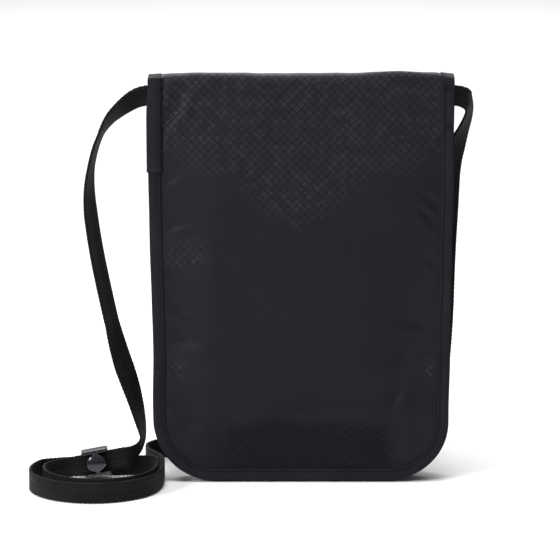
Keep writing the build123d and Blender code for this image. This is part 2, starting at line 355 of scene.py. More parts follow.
# neck strap
strap = {
    "width": 0.0100,
    "thickness": 0.0012,
    "scallopPitch": 0.0021,
    "scallopDepth": 0.00022,
    "step": 0.0006,
    # point in metres, then which way the webbing's width points there
    "leftRun": [
        ((-0.0715, -0.0029, 0.1880), (0, 0, 1)), ((-0.0765, -0.0029, 0.1880), (0, -0.38, 0.92)),
        ((-0.0850, -0.0034, 0.1824), (-0.40, -0.79, 0.46)),
        ((-0.0925, -0.0020, 0.1750), (-0.15, -0.98, 0.13)),
        ((-0.0988, 0.0000, 0.1620), (-0.22, -0.97, 0.05)), ((-0.1023, 0.0020, 0.1420), (-0.55, -0.83, 0.0)),
        ((-0.0993, 0.0055, 0.1140), (-0.6, -0.8, -0.1)), ((-0.0938, 0.0075, 0.0850), (-0.6, -0.8, -0.1)),
        ((-0.0885, 0.0105, 0.0600), (-0.93, -0.36, -0.2)),
        ((-0.0820, 0.0125, 0.0400), (-0.62, -0.78, -0.2)),
        ((-0.0788, 0.0134, 0.0265), (-0.35, -0.93, 0.0)), ((-0.0773, 0.0108, 0.0175), (-0.1, -0.9, 0.4)),
        ((-0.0789, 0.0042, 0.0130), (0.1, -0.5, 0.85)), ((-0.08356, -0.00221, 0.01128), (0.15, 0, 1)),
        ((-0.0875, -0.0025, 0.0106), (0.17, 0, 1)), ((-0.1030, -0.00366, 0.00794), (0.17, 0, 1)),
        ((-0.1150, -0.00455, 0.00589), (0.1, 0, 1)),
    ],
    "turns": [
        # centre, half sizes, first and last angle, points
        ((-0.0970, -0.0150), (0.0275, 0.0255), 165, 357, 9),
        ((-0.0988, -0.0185), (0.0320, 0.0300), 150, 355, 10),
    ],
    "betweenTurns": [
        (-0.0698, -0.0090), (-0.0696, -0.0010), (-0.0720, 0.0042), (-0.0790, 0.0036), (-0.0870, 0.0028),
        (-0.0950, 0.0022), (-0.1030, 0.0018), (-0.1130, 0.0010), (-0.1230, -0.0020),
    ],
    "afterTurns": [(-0.0666, -0.0090), (-0.0668, 0.0030), (-0.0715, 0.0120), (-0.0760, 0.0200),
                   (-0.0765, 0.0290), (-0.0710, 0.0370), (-0.0625, 0.0370), (-0.0585, 0.0270),
                   (-0.0545, 0.0180)],
    "coilHeight": 0.0052,
    "rightRun": [
        ((-0.0460, 0.0150, 0.0052), (0, 0, 1)),
        ((-0.0280, 0.0185, 0.0052), (0, 0, 1)), ((0.0000, 0.0165, 0.0052), (0, 0, 1)),
        ((0.0260, 0.0185, 0.0052), (0, 0, 1)), ((0.0460, 0.0175, 0.0056), (-0.2, 0, 1)),
        ((0.0585, 0.0150, 0.0095), (-0.6, 0, 0.8)), ((0.0650, 0.0145, 0.0200), (-0.95, 0, 0.3)),
        ((0.0675, 0.0148, 0.0420), (-1, 0, 0)), ((0.0698, 0.0142, 0.0750), (-1, 0, 0)),
        ((0.0704, 0.0150, 0.1070), (-1, 0, 0)), ((0.0718, 0.0140, 0.1350), (-1, -0.1, 0)),
        ((0.0726, 0.0125, 0.1530), (-0.95, -0.3, 0)), ((0.0760, 0.0095, 0.1660), (-0.9, -0.4, 0)),
        ((0.0796, 0.0050, 0.1760), (-0.6, -0.8, 0)), ((0.0804, 0.0000, 0.1840), (-0.4, -0.85, -0.3)),
        ((0.0766, -0.0029, 0.1880), (0, -0.1, -1)), ((0.0715, -0.0029, 0.1880), (0, 0, -1)),
    ],
}


def strapRoute():
    upright = Vector((0, 0, 1))
    coilHeight = strap["coilHeight"]
    route = [(Vector(point), Vector(lean)) for point, lean in strap["leftRun"]]
    for number, (centre, half, first, last, count) in enumerate(strap["turns"]):
        for step in range(count):
            angle = math.radians(first + (last - first) * step / (count - 1))
            x = centre[0] + half[0] * math.cos(angle)
            y = centre[1] + half[1] * math.sin(angle)
            route.append((Vector((x, y, coilHeight)), upright))
        joinList = strap["afterTurns"] if number else strap["betweenTurns"]
        route += [(Vector((x, y, coilHeight)), upright) for x, y in joinList]
    return route + [(Vector(point), Vector(lean)) for point, lean in strap["rightRun"]]


def splinePoints(name, points, resolution):
    # the smooth line that a NURBS spline draws through its control points
    curve = bpy.data.curves.new(name, "CURVE")
    curve.dimensions = "3D"
    spline = curve.splines.new("NURBS")
    spline.points.add(len(points) - 1)
    for target, point in zip(spline.points, points):
        target.co = (*point, 1)
    spline.order_u = 3
    spline.use_endpoint_u = True
    curve.resolution_u = resolution
    line = bpy.data.objects.new(name, curve)
    bpy.context.collection.objects.link(line)
    bpy.context.view_layer.update()
    mesh = bpy.data.meshes.new_from_object(line)
    found = [vertex.co.copy() for vertex in mesh.vertices]
    bpy.data.objects.remove(line)
    return found


def evenly(points, leans, step):
    # the same line in equal steps, with the lean carried along
    total = sum((b - a).length for a, b in zip(points, points[1:]))
    count = int(total / step)
    spots, turned, walked, index = [], [], 0.0, 0
    for number in range(count + 1):
        wanted = total * number / count
        while index < len(points) - 2 and walked + (points[index + 1] - points[index]).length < wanted:
            walked += (points[index + 1] - points[index]).length
            index += 1
        part = (wanted - walked) / max((points[index + 1] - points[index]).length, 1e-9)
        spots.append(points[index].lerp(points[index + 1], min(part, 1.0)))
        turned.append(leans[index].lerp(leans[index + 1], min(part, 1.0)))
    return spots, turned, total


def buildStrap():
    route = strapRoute()
    line = splinePoints("strapLine", [point for point, _ in route], 24)
    leans = []
    for number in range(len(line)):
        place = number / (len(line) - 1) * (len(route) - 1)
        index = min(int(place), len(route) - 2)
        leans.append(route[index][1].lerp(route[index + 1][1], place - index))
    spots, leans, total = evenly(line, leans, strap["step"])
    print("strap centreline", round(total, 4), "m in", len(spots), "points")
    across = 6
    bpy.ops.object.select_all(action="DESELECT")
    bpy.ops.mesh.primitive_grid_add(x_subdivisions=len(spots) - 1, y_subdivisions=across, size=2)
    piece = bpy.context.object
    piece.name = "neckStrap"
    frames = []
    for index, spot in enumerate(spots):
        tangent = (spots[min(index + 1, len(spots) - 1)] - spots[max(index - 1, 0)]).normalized()
        width = leans[index] - tangent * leans[index].dot(tangent)
        frames.append((spot, width.normalized()))
    last = len(spots) - 1
    places = {}
    for vertex in piece.data.vertices:
        index = round((vertex.co.x + 1) / 2 * last)
        side = vertex.co.y
        spot, width = frames[index]
        along = total * index / last
        scallop = math.cos(2 * math.pi * along / strap["scallopPitch"] + (0.8 if side > 0 else 0))
        half = strap["width"] / 2 - strap["scallopDepth"] * (1 - scallop) / 2 * (abs(side) > 0.99)
        places[vertex.index] = (along, half * side)
        vertex.co = spot + width * (half * side)
    layer = piece.data.uv_layers[0]
    for loop in piece.data.loops:
        layer.data[loop.index].uv = places[loop.vertex_index]
    finishWith(piece, "SOLIDIFY", thickness=strap["thickness"], offset=0)
    finishWith(piece, "BEVEL", width=0.0003, segments=2, angle_limit=math.radians(50))
    smooth(piece, 60)
    return piece, spots, total


strapPiece, strapLine, strapTotal = buildStrap()


# shader building blocks
def addNode(tree, kind, **values):
    node = tree.nodes.new(kind)
    for name, value in values.items():
        setattr(node, name, value)
    return node


def plug(tree, source, socket):
    if isinstance(source, bpy.types.NodeSocket):
        tree.links.new(source, socket)
    else:
        socket.default_value = source


def sums(tree, operation, first, second=0.0, third=0.0):
    node = addNode(tree, "ShaderNodeMath", operation=operation)
    for socket, source in zip(node.inputs, (first, second, third)):
        plug(tree, source, socket)
    return node.outputs[0]


def times(tree, first, second):
    return sums(tree, "MULTIPLY", first, second)


def ramp(tree, value, low, high, newLow=0.0, newHigh=1.0):
    node = addNode(tree, "ShaderNodeMapRange", interpolation_type="SMOOTHSTEP")
    for socket, source in zip(node.inputs, (value, low, high, newLow, newHigh)):
        plug(tree, source, socket)
    return node.outputs[0]


def blendColour(tree, amount, first, second):
    node = addNode(tree, "ShaderNodeMix", data_type="RGBA")
    plug(tree, amount, node.inputs["Factor"])
    plug(tree, first, node.inputs[6])
    plug(tree, second, node.inputs[7])
    return node.outputs[2]


def noiseTexture(tree, place, scale, detail=2.0):
    node = addNode(tree, "ShaderNodeTexNoise")
    plug(tree, place, node.inputs["Vector"])
    plug(tree, scale, node.inputs["Scale"])
    node.inputs["Detail"].default_value = detail
    return node.outputs["Fac"]


def newGroup(name, inputs, outputs):
    # inputs are (name, kind, value) and outputs are (name, kind)
    tree = bpy.data.node_groups.new(name, "ShaderNodeTree")
    kinds = {"vector": "NodeSocketVector", "float": "NodeSocketFloat", "colour": "NodeSocketColor"}
    for label, kind, value in inputs:
        socket = tree.interface.new_socket(name=label, in_out="INPUT", socket_type=kinds[kind])
        if value is not None:
            socket.default_value = value
    for label, kind in outputs:
        tree.interface.new_socket(name=label, in_out="OUTPUT", socket_type=kinds[kind])
    return tree, addNode(tree, "NodeGroupInput"), addNode(tree, "NodeGroupOutput")


def useGroup(tree, group, **values):
    node = addNode(tree, "ShaderNodeGroup", node_tree=group)
    for name, value in values.items():
        plug(tree, value, node.inputs[name])
    return node


def splitVector(tree, vector):
    node = addNode(tree, "ShaderNodeSeparateXYZ")
    plug(tree, vector, node.inputs[0])
    return node.outputs


def waves(tree, value, pitch):
    # 0 to 1 and back, once per pitch
    turns = times(tree, sums(tree, "DIVIDE", value, pitch), 2 * math.pi)
    return sums(tree, "MULTIPLY_ADD", sums(tree, "SINE", turns), 0.5, 0.5)


def handlingGroup():
    # slow variation of tone, and stray lint on the face
    tree, given, result = newGroup(
        "handling", [("Place", "vector", None), ("Spread", "float", 60.0), ("Lint", "float", 1.0)],
        [("Tone", "float"), ("Lint", "float")])
    place = given.outputs["Place"]
    tone = ramp(tree, noiseTexture(tree, place, given.outputs["Spread"], 3.0), 0.3, 0.7)
    lint = ramp(tree, noiseTexture(tree, place, 1900.0, 1.0), 0.735, 0.80)
    plug(tree, tone, result.inputs["Tone"])
    plug(tree, times(tree, lint, given.outputs["Lint"]), result.inputs["Lint"])
    return tree


def plainWeaveGroup():
    # over and under threads, and the dark pinholes between them
    tree, given, result = newGroup(
        "plainWeave", [("Place", "vector", None), ("Pitch", "float", 0.0005)],
        [("Height", "float"), ("Gap", "float")])
    x, y, _ = splitVector(tree, given.outputs["Place"])
    pitch = given.outputs["Pitch"]
    warp = waves(tree, x, pitch)
    weft = waves(tree, y, pitch)
    same = times(tree, warp, weft)
    other = times(tree, sums(tree, "SUBTRACT", 1.0, warp), sums(tree, "SUBTRACT", 1.0, weft))
    height = sums(tree, "ADD", same, other)
    plug(tree, height, result.inputs["Height"])
    plug(tree, ramp(tree, height, 0.25, 0.0), result.inputs["Gap"])
    return tree


def herringboneGroup():
    # slanted threads that turn back at each column
    tree, given, result = newGroup(
        "herringbone", [("Place", "vector", None), ("Pitch", "float", 0.0015), ("Column", "float", 0.0025),
                        ("Slant", "float", 1.0)],
        [("Height", "float"), ("Spine", "float")])
    along, across, _ = splitVector(tree, given.outputs["Place"])
    column = given.outputs["Column"]
    turned = sums(tree, "PINGPONG", across, column)
    line = sums(tree, "MULTIPLY_ADD", turned, given.outputs["Slant"], along)
    threads = waves(tree, line, given.outputs["Pitch"])
    fold = sums(tree, "PINGPONG", sums(tree, "DIVIDE", across, column), 0.5)
    spine = ramp(tree, fold, 0.10, 0.0)
    plug(tree, sums(tree, "SUBTRACT", threads, times(tree, spine, 0.4)), result.inputs["Height"])
    plug(tree, spine, result.inputs["Spine"])
    return tree


def diamondGroup():
    # grooves in a slanted lattice, each diamond hatched across or along in turn
    tree, given, result = newGroup(
        "diamondWeave", [("Place", "vector", None), ("Cell", "float", 0.0028), ("Threads", "float", 2.5)],
        [("Groove", "float"), ("Hatch", "float")])
    x, y, _ = splitVector(tree, given.outputs["Place"])
    scale = times(tree, given.outputs["Cell"], math.sqrt(2))
    rising = sums(tree, "DIVIDE", sums(tree, "ADD", x, y), scale)
    falling = sums(tree, "DIVIDE", sums(tree, "SUBTRACT", x, y), scale)
    toEdges = [sums(tree, "PINGPONG", value, 0.5) for value in (rising, falling)]
    nearest = sums(tree, "MINIMUM", *toEdges)
    groove = ramp(tree, nearest, 0.14, 0.03)
    cells = sums(tree, "ADD", sums(tree, "FLOOR", rising), sums(tree, "FLOOR", falling))
    odd = sums(tree, "FLOORED_MODULO", cells, 2.0)
    cut = sums(tree, "DIVIDE", 1.0, given.outputs["Threads"])
    lines = [waves(tree, value, cut) for value in (rising, falling)]
    hatch = addNode(tree, "ShaderNodeMix", data_type="FLOAT")
    for socket, source in zip((hatch.inputs[0], hatch.inputs[2], hatch.inputs[3]), (odd, *lines)):
        plug(tree, source, socket)
    plug(tree, groove, result.inputs["Groove"])
    plug(tree, times(tree, hatch.outputs[0], sums(tree, "SUBTRACT", 1.0, groove)),
         result.inputs["Hatch"])
    return tree


def rubbedEdgeGroup():
    # outside edges where lacquer or moulding is rubbed bright
    tree, given, result = newGroup("rubbedEdge", [("Place", "vector", None), ("Amount", "float", 1.0)],
                                   [("Worn", "float")])
    surface = addNode(tree, "ShaderNodeNewGeometry")
    blotches = noiseTexture(tree, given.outputs["Place"], 900.0)
    edge = ramp(tree, surface.outputs["Pointiness"], 0.52, 0.62)
    patchy = times(tree, edge, ramp(tree, blotches, 0.35, 0.65))
    plug(tree, times(tree, patchy, given.outputs["Amount"]), result.inputs["Worn"])
    return tree


groups = {
    "handling": handlingGroup(),
    "plainWeave": plainWeaveGroup(),
    "herringbone": herringboneGroup(),
    "diamondWeave": diamondGroup(),
    "rubbedEdge": rubbedEdgeGroup(),
}


def newMaterial(name, specular, sheen=0.0, sheenRough=0.5, coat=0.0, coatRough=0.1):
    material = bpy.data.materials.new(name)
    material.use_nodes = True
    tree = material.node_tree
    shader = tree.nodes["Principled BSDF"]
    shader.inputs["Specular IOR Level"].default_value = specular
    shader.inputs["Specular Tint"].default_value = (0.94, 0.92, 1.0, 1)
    shader.inputs["Sheen Weight"].default_value = sheen
    shader.inputs["Sheen Roughness"].default_value = sheenRough
    shader.inputs["Coat Weight"].default_value = coat
    shader.inputs["Coat Roughness"].default_value = coatRough
    return material, tree, shader


def patternPlace(tree, useUv):
    place = addNode(tree, "ShaderNodeTexCoord")
    return place.outputs["UV" if useUv else "Object"]


def relief(tree, shader, height, distance):
    bump = addNode(tree, "ShaderNodeBump")
    bump.inputs["Strength"].default_value = 1.0
    bump.inputs["Distance"].default_value = distance
    plug(tree, height, bump.inputs["Height"])
    plug(tree, bump.outputs["Normal"], shader.inputs["Normal"])


def toned(tree, handled, light, dark):
    # slow drift between two greys, or near greys
    return blendColour(tree, handled.outputs["Tone"], (*light, 1), (*dark, 1))


def finishColour(tree, shader, base, lint, amount=0.5):
    # lint lies on top of the weave
    plug(tree, blendColour(tree, times(tree, lint, amount), base, (0.10, 0.10, 0.10, 1)),
         shader.inputs["Base Color"])


outerCloth = {
    "cell": 0.0028,
    # painted shade that darkens the lattice's embossed grooves
    "dark": (0.0052, 0.0050, 0.0064, 1),
    "thread": (0.0105, 0.0100, 0.0136, 1),
    # painted highlight: the bright colour that the hatch lines take as glints
    "paintedHighlight": (0.0480, 0.0465, 0.0550, 1),
    "shadow": (0.0028, 0.0026, 0.0040, 1),
    "grooveDepth": 0.00016,
    "weavePitch": 0.00036,
    # above a V the lattice shows, as relief and as painted sheen: its slope, the height of its tip, and how ragged its
    # edge is
    "veeSlope": -0.575,
    "veeTip": (0.132, 0.150),
    "veeRagged": 0.030,
    # the lattice also shows over the patch, as relief and as painted sheen, and painted shade darkens the cloth there:
    # top edge, side edge, and how far each bends
    "patchTop": (0.037, 0.026),
    "patchTopBend": 0.020,
    "patchSide": (0.066, 0.048),
    "patchSideBend": 0.024,
    "patchShade": 0.75,
    # middle and half sizes of the small areas at the sides where the relief and the painted sheen show too
    "patches": [(-0.0560, 0.1125, 0.0130, 0.0075), (-0.0610, 0.0570, 0.0060, 0.0060),
                (0.0630, 0.0570, 0.0050, 0.0055)],
}


def patternedClothMaterial(name, paintedLightAndReliefMaskWeight):
    material, tree, shader = newMaterial(name, 0.11, sheen=0.02, sheenRough=0.35)
    place = patternPlace(tree, True)
    x, y, _ = splitVector(tree, place)
    handled = useGroup(tree, groups["handling"], Place=place, Spread=38.0, Lint=0.5)
    weave = useGroup(tree, groups["plainWeave"], Place=place, Pitch=outerCloth["weavePitch"])
    lattice = useGroup(tree, groups["diamondWeave"], Place=place, Cell=outerCloth["cell"])
    # the mask weight is how far the relief and the painted sheen fade outside these areas, from 0, shown everywhere,
    # to 1, gone there
    side = times(tree, sums(tree, "ABSOLUTE", x), outerCloth["veeSlope"])
    ragged = noiseTexture(tree, place, 48.0)
    edge = sums(tree, "MULTIPLY_ADD", ragged, outerCloth["veeRagged"], sums(tree, "ADD", y, side))
    paintedSheenAndReliefVee = ramp(tree, edge, *outerCloth["veeTip"])
    for cx, cy, rx, ry in outerCloth["patches"]:
        dx = sums(tree, "DIVIDE", sums(tree, "SUBTRACT", x, cx), rx)
        dy = sums(tree, "DIVIDE", sums(tree, "SUBTRACT", y, cy), ry)
        squares = [sums(tree, "POWER", value, 2.0) for value in (dx, dy)]
        away = sums(tree, "SQRT", sums(tree, "ADD", *squares))
        paintedSheenAndReliefVee = sums(tree, "MAXIMUM", paintedSheenAndReliefVee, ramp(tree, away, 1.5, 0.3))
    bend = noiseTexture(tree, place, 26.0, 1.0)
    # half of the bend is taken off again, so that the top edge stays where it is on average
    centred = sums(tree, "SUBTRACT", y, outerCloth["patchTopBend"] / 2)
    level = sums(tree, "MULTIPLY_ADD", bend, outerCloth["patchTopBend"], centred)
    lowPart = ramp(tree, level, *outerCloth["patchTop"])
    bowed = sums(tree, "MULTIPLY_ADD", bend, outerCloth["patchSideBend"], sums(tree, "ABSOLUTE", x))
    middle = ramp(tree, bowed, *outerCloth["patchSide"])
    patched = times(tree, lowPart, middle)
    # where the lattice shows, as relief and as painted sheen
    show = sums(tree, "MAXIMUM", paintedSheenAndReliefVee, patched)
    show = sums(tree, "MULTIPLY_ADD", show, paintedLightAndReliefMaskWeight, 1.0 - paintedLightAndReliefMaskWeight)
    groove = times(tree, lattice.outputs["Groove"], show)
    # painted glints: noise that picks which cells catch the painted highlight
    paintedGlint = ramp(tree, noiseTexture(tree, place, 230.0), 0.40, 0.66, 0.25, 1.0)
    hatch = times(tree, times(tree, lattice.outputs["Hatch"], paintedGlint), show)
    base = blendColour(tree, handled.outputs["Tone"], outerCloth["thread"],
                       [v * 0.86 for v in outerCloth["thread"][:3]] + [1])
    # painted highlight on the hatch lines
    base = blendColour(tree, times(tree, hatch, 0.60), base, outerCloth["paintedHighlight"])
    # painted shade in the grooves
    base = blendColour(tree, times(tree, groove, 0.45), base, outerCloth["dark"])
    # painted shade over the lower middle of the flap, by the patch
    shadowed = times(tree, patched, outerCloth["patchShade"] * (paintedLightAndReliefMaskWeight > 0))
    base = blendColour(tree, shadowed, base, outerCloth["shadow"])
    finishColour(tree, shader, base, handled.outputs["Lint"])
    rough = sums(tree, "MULTIPLY_ADD", hatch, -0.10, 0.42)
    plug(tree, sums(tree, "MULTIPLY_ADD", groove, 0.25, rough), shader.inputs["Roughness"])
    height = sums(tree, "MULTIPLY_ADD", groove, -0.6, times(tree, hatch, 0.9))
    height = sums(tree, "MULTIPLY_ADD", weave.outputs["Height"], 0.14, height)
    relief(tree, shader, height, outerCloth["grooveDepth"])
    return material


def liningMaterial():
    material, tree, shader = newMaterial("liningCloth", 0.2, sheen=0.12)
    place = patternPlace(tree, True)
    handled = useGroup(tree, groups["handling"], Place=place, Spread=45.0, Lint=0.6)
    weave = useGroup(tree, groups["plainWeave"], Place=place, Pitch=0.00058)
    base = toned(tree, handled, (0.0085, 0.0085, 0.0100), (0.0060, 0.0060, 0.0072))
    gap = times(tree, weave.outputs["Gap"], 0.7)
    base = blendColour(tree, gap, base, (0.003, 0.003, 0.004, 1))
    finishColour(tree, shader, base, handled.outputs["Lint"])
    plug(tree, sums(tree, "MULTIPLY_ADD", handled.outputs["Tone"], 0.08, 0.62), shader.inputs["Roughness"])
    relief(tree, shader, weave.outputs["Height"], 0.00006)
    return material


def edgeTapeMaterial():
    # fine ribs across the tape and a flat selvedge, with painted shade along its inner edge and in the stitch groove
    material, tree, shader = newMaterial("edgeTape", 0.10, sheen=0.03)
    place = patternPlace(tree, True)
    along, across, _ = splitVector(tree, place)
    handled = useGroup(tree, groups["handling"], Place=place, Spread=70.0, Lint=0.9)
    ribs = waves(tree, along, 0.00055)
    threads = waves(tree, across, 0.00032)
    height = sums(tree, "MULTIPLY_ADD", threads, 0.35, ribs)
    base = toned(tree, handled, (0.0150, 0.0144, 0.0190), (0.0108, 0.0103, 0.0138))
    base = blendColour(tree, ramp(tree, ribs, 0.3, 0.0), base, (0.0024, 0.0024, 0.0030, 1))
    # painted shade: a dark line along the tape's inner edge and in the stitch groove
    edge = times(tree, ramp(tree, across, 0.0050, 0.0058), ramp(tree, across, 0.0080, 0.0066))
    seam = ramp(tree, sums(tree, "ABSOLUTE", sums(tree, "SUBTRACT", across, 0.0042)), 0.0006, 0.0002)
    shade = sums(tree, "MAXIMUM", edge, times(tree, seam, 0.6))
    base = blendColour(tree, times(tree, shade, 0.8), base, (0.0024, 0.0024, 0.0030, 1))
    finishColour(tree, shader, base, handled.outputs["Lint"])
    plug(tree, sums(tree, "MULTIPLY_ADD", ribs, -0.08, 0.66), shader.inputs["Roughness"])
    relief(tree, shader, height, 0.00007)
    return material


def webbingMaterial(name, pitch, column, thread, gap, depth):
    material, tree, shader = newMaterial(name, 0.10, sheen=0.03, sheenRough=0.4)
    place = patternPlace(tree, True)
    handled = useGroup(tree, groups["handling"], Place=place, Spread=90.0, Lint=0.7)
    bone = useGroup(tree, groups["herringbone"], Place=place, Pitch=pitch, Column=column, Slant=-1.7)
    yarn = useGroup(tree, groups["plainWeave"], Place=place, Pitch=pitch * 0.28)
    # painted highlight on the raised herringbone threads, painted shade in the troughs and along the spine
    bright = times(tree, ramp(tree, bone.outputs["Height"], 0.30, 0.75), 0.85)
    bright = times(tree, bright, sums(tree, "MULTIPLY_ADD", handled.outputs["Tone"], 0.35, 0.65))
    finishColour(tree, shader, blendColour(tree, bright, gap, thread), handled.outputs["Lint"], 0.6)
    plug(tree, sums(tree, "MULTIPLY_ADD", bright, -0.15, 0.68), shader.inputs["Roughness"])
    height = sums(tree, "MULTIPLY_ADD", yarn.outputs["Height"], 0.22, bone.outputs["Height"])
    relief(tree, shader, height, depth)
    return material


def napMaterial(name, dark, light, scale, depth):
    # a field of small loops or hooks
    material, tree, shader = newMaterial(name, 0.2, sheen=0.25, sheenRough=0.6)
    place = patternPlace(tree, False)
    handled = useGroup(tree, groups["handling"], Place=place, Spread=80.0, Lint=1.0)
    tufts = addNode(tree, "ShaderNodeTexVoronoi", feature="F1")
    plug(tree, place, tufts.inputs["Vector"])
    tufts.inputs["Scale"].default_value = scale
    height = ramp(tree, tufts.outputs["Distance"], 0.75, 0.1)
    base = blendColour(tree, height, dark, light)
    base = blendColour(tree, times(tree, handled.outputs["Tone"], 0.3), base, dark)
    finishColour(tree, shader, base, handled.outputs["Lint"], 0.7)
    plug(tree, sums(tree, "MULTIPLY_ADD", height, -0.15, 0.85), shader.inputs["Roughness"])
    relief(tree, shader, height, depth)
    return material


def lacquerMaterial():
    material, tree, shader = newMaterial("lacqueredMetal", 0.5, coat=0.4, coatRough=0.2)
    place = patternPlace(tree, False)
    handled = useGroup(tree, groups["handling"], Place=place, Spread=300.0, Lint=0.0)
    worn = useGroup(tree, groups["rubbedEdge"], Place=place, Amount=0.35)
    base = toned(tree, handled, (0.022, 0.022, 0.024), (0.015, 0.015, 0.016))
    base = blendColour(tree, worn.outputs["Worn"], base, (0.32, 0.31, 0.30, 1))
    plug(tree, base, shader.inputs["Base Color"])
    plug(tree, sums(tree, "MULTIPLY_ADD", worn.outputs["Worn"], 0.6, 0.35), shader.inputs["Metallic"])
    plug(tree, sums(tree, "MULTIPLY_ADD", handled.outputs["Tone"], 0.12, 0.30), shader.inputs["Roughness"])
    relief(tree, shader, handled.outputs["Tone"], 0.00001)
    return material


def mouldedMaterial(name, base, rough, coat):
    material, tree, shader = newMaterial(name, 0.5, coat=coat, coatRough=0.06)
    place = patternPlace(tree, False)
    handled = useGroup(tree, groups["handling"], Place=place, Spread=500.0, Lint=0.0)
    worn = useGroup(tree, groups["rubbedEdge"], Place=place, Amount=0.25)
    colour = blendColour(tree, handled.outputs["Tone"], base, [v * 0.75 for v in base[:3]] + [1])
    colour = blendColour(tree, worn.outputs["Worn"], colour, (0.08, 0.08, 0.085, 1))
    plug(tree, colour, shader.inputs["Base Color"])
    plug(tree, sums(tree, "MULTIPLY_ADD", handled.outputs["Tone"], 0.08, rough), shader.inputs["Roughness"])
    relief(tree, shader, handled.outputs["Tone"], 0.00002)
    return material


def threadMaterial():
    material, tree, shader = newMaterial("sewingThread", 0.1, sheen=0.02)
    place = patternPlace(tree, False)
    handled = useGroup(tree, groups["handling"], Place=place, Spread=900.0, Lint=0.0)
    base = toned(tree, handled, (0.0080, 0.0077, 0.0100), (0.0110, 0.0106, 0.0136))
    plug(tree, base, shader.inputs["Base Color"])
    plug(tree, sums(tree, "MULTIPLY_ADD", handled.outputs["Tone"], 0.1, 0.5), shader.inputs["Roughness"])
    relief(tree, shader, handled.outputs["Tone"], 0.00003)
    return material


finishes = {
    "patterned": patternedClothMaterial("patternedCloth", 0.94),
    "patternedBack": patternedClothMaterial("patternedBack", 0.0),
    "lining": liningMaterial(),
    "tape": edgeTapeMaterial(),
    "webbing": webbingMaterial("neckWebbing", 0.00195, 0.0050, (0.0205, 0.0202, 0.0222, 1),
                               (0.0009, 0.0009, 0.0012, 1), 0.00024),
    "zipTape": webbingMaterial("zipTape", 0.0008, 0.0017, (0.015, 0.015, 0.016, 1),
                               (0.006, 0.006, 0.0065, 1), 0.00006),
    "hooks": napMaterial("hookTape", (0.004, 0.004, 0.004, 1), (0.020, 0.020, 0.021, 1), 1250.0, 0.0004),
    "loops": napMaterial("loopTape", (0.008, 0.008, 0.009, 1), (0.026, 0.026, 0.028, 1), 2300.0, 0.0003),
    "metal": lacquerMaterial(),
    "coil": mouldedMaterial("nylonCoil", (0.012, 0.012, 0.013, 1), 0.38, 0.1),
    "plastic": mouldedMaterial("adjusterPlastic", (0.018, 0.018, 0.021, 1), 0.16, 0.3),
    "thread": threadMaterial(),
}
print("materials ready:", len(finishes))

dress(strapPiece, finishes["webbing"], "pouch", "webbing",
      "strap_left_run", "strap_flat_run", "strap_coil", "strap_right_run")


# outline shared by the flap and the body
flapLow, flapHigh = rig.box("flap_binding")
bodyLow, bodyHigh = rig.box("body_binding")
foldLow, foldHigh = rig.box("flap_top_fold")
panelLow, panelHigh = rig.box("flap_panel")

outline = {
    "tapeWidth": 0.0060,
    "flapCorner": 0.0300,
    "bodyCorner": 0.0285,
    "wander": 0.0006,           # how far the sewn sides wander from straight
    "wanderLength": 0.030,
    "taperLeft": 0.0014,        # how much nearer the middle each side sits low down
    "taperRight": 0.0008,
    "tuck": 0.00105,            # cloth edge inside the tape
}


def cornerHalf(z, half, low, corner):
    lift = z - low
    if lift >= corner:
        return half
    return half - corner + math.sqrt(max(corner ** 2 - (corner - lift) ** 2, 0))


def swayed(x, z):
    # the same small wander for every layer, so they stay nested
    side = 1 if x > 0 else -1
    near = ease((abs(x) - 0.040) / 0.030)
    drift = outline["wander"] * noise.noise(Vector((3.0 * side, 1.7, z / outline["wanderLength"])))
    taper = outline["taperRight" if x > 0 else "taperLeft"] * ease((0.150 - z) / 0.090)
    return x - side * near * (taper + drift)


def settle(piece):
    for vertex in piece.data.vertices:
        vertex.co.x = swayed(vertex.co.x, vertex.co.z)


def writeUv(piece, place):
    # UV in metres from each vertex's own place
    layer = piece.data.uv_layers[0] if piece.data.uv_layers else piece.data.uv_layers.new(name="UVMap")
    spots = [place(vertex.co) for vertex in piece.data.vertices]
    for loop in piece.data.loops:
        layer.data[loop.index].uv = spots[loop.vertex_index]


def clothSheet(name, columns, rows, place, thickness):
    # place(u, row) gives the vertex and its spot on the flat cloth
    bpy.ops.object.select_all(action="DESELECT")
    bpy.ops.mesh.primitive_grid_add(x_subdivisions=columns, y_subdivisions=len(rows) - 1, size=2)
    piece = bpy.context.object
    piece.name = name
    spots = {}
    for vertex in piece.data.vertices:
        row = rows[round((vertex.co.y + 1) / 2 * (len(rows) - 1))]
        vertex.co, spots[vertex.index] = place(vertex.co.x, row)
    layer = piece.data.uv_layers[0]
    for loop in piece.data.loops:
        layer.data[loop.index].uv = spots[loop.vertex_index]
    finishWith(piece, "SOLIDIFY", thickness=thickness, offset=-1)
    smooth(piece, 60)
    return piece


def outlineRows(low, high, corner, cornerCount, step):
    # close rows round the corners, then even ones
    rows = [low + corner * (1 - math.cos(math.pi / 2 * k / cornerCount)) for k in range(cornerCount)]
    count = max(int((high - low - corner) / step), 1)
    return rows + [low + corner + (high - low - corner) * k / count for k in range(count + 1)]


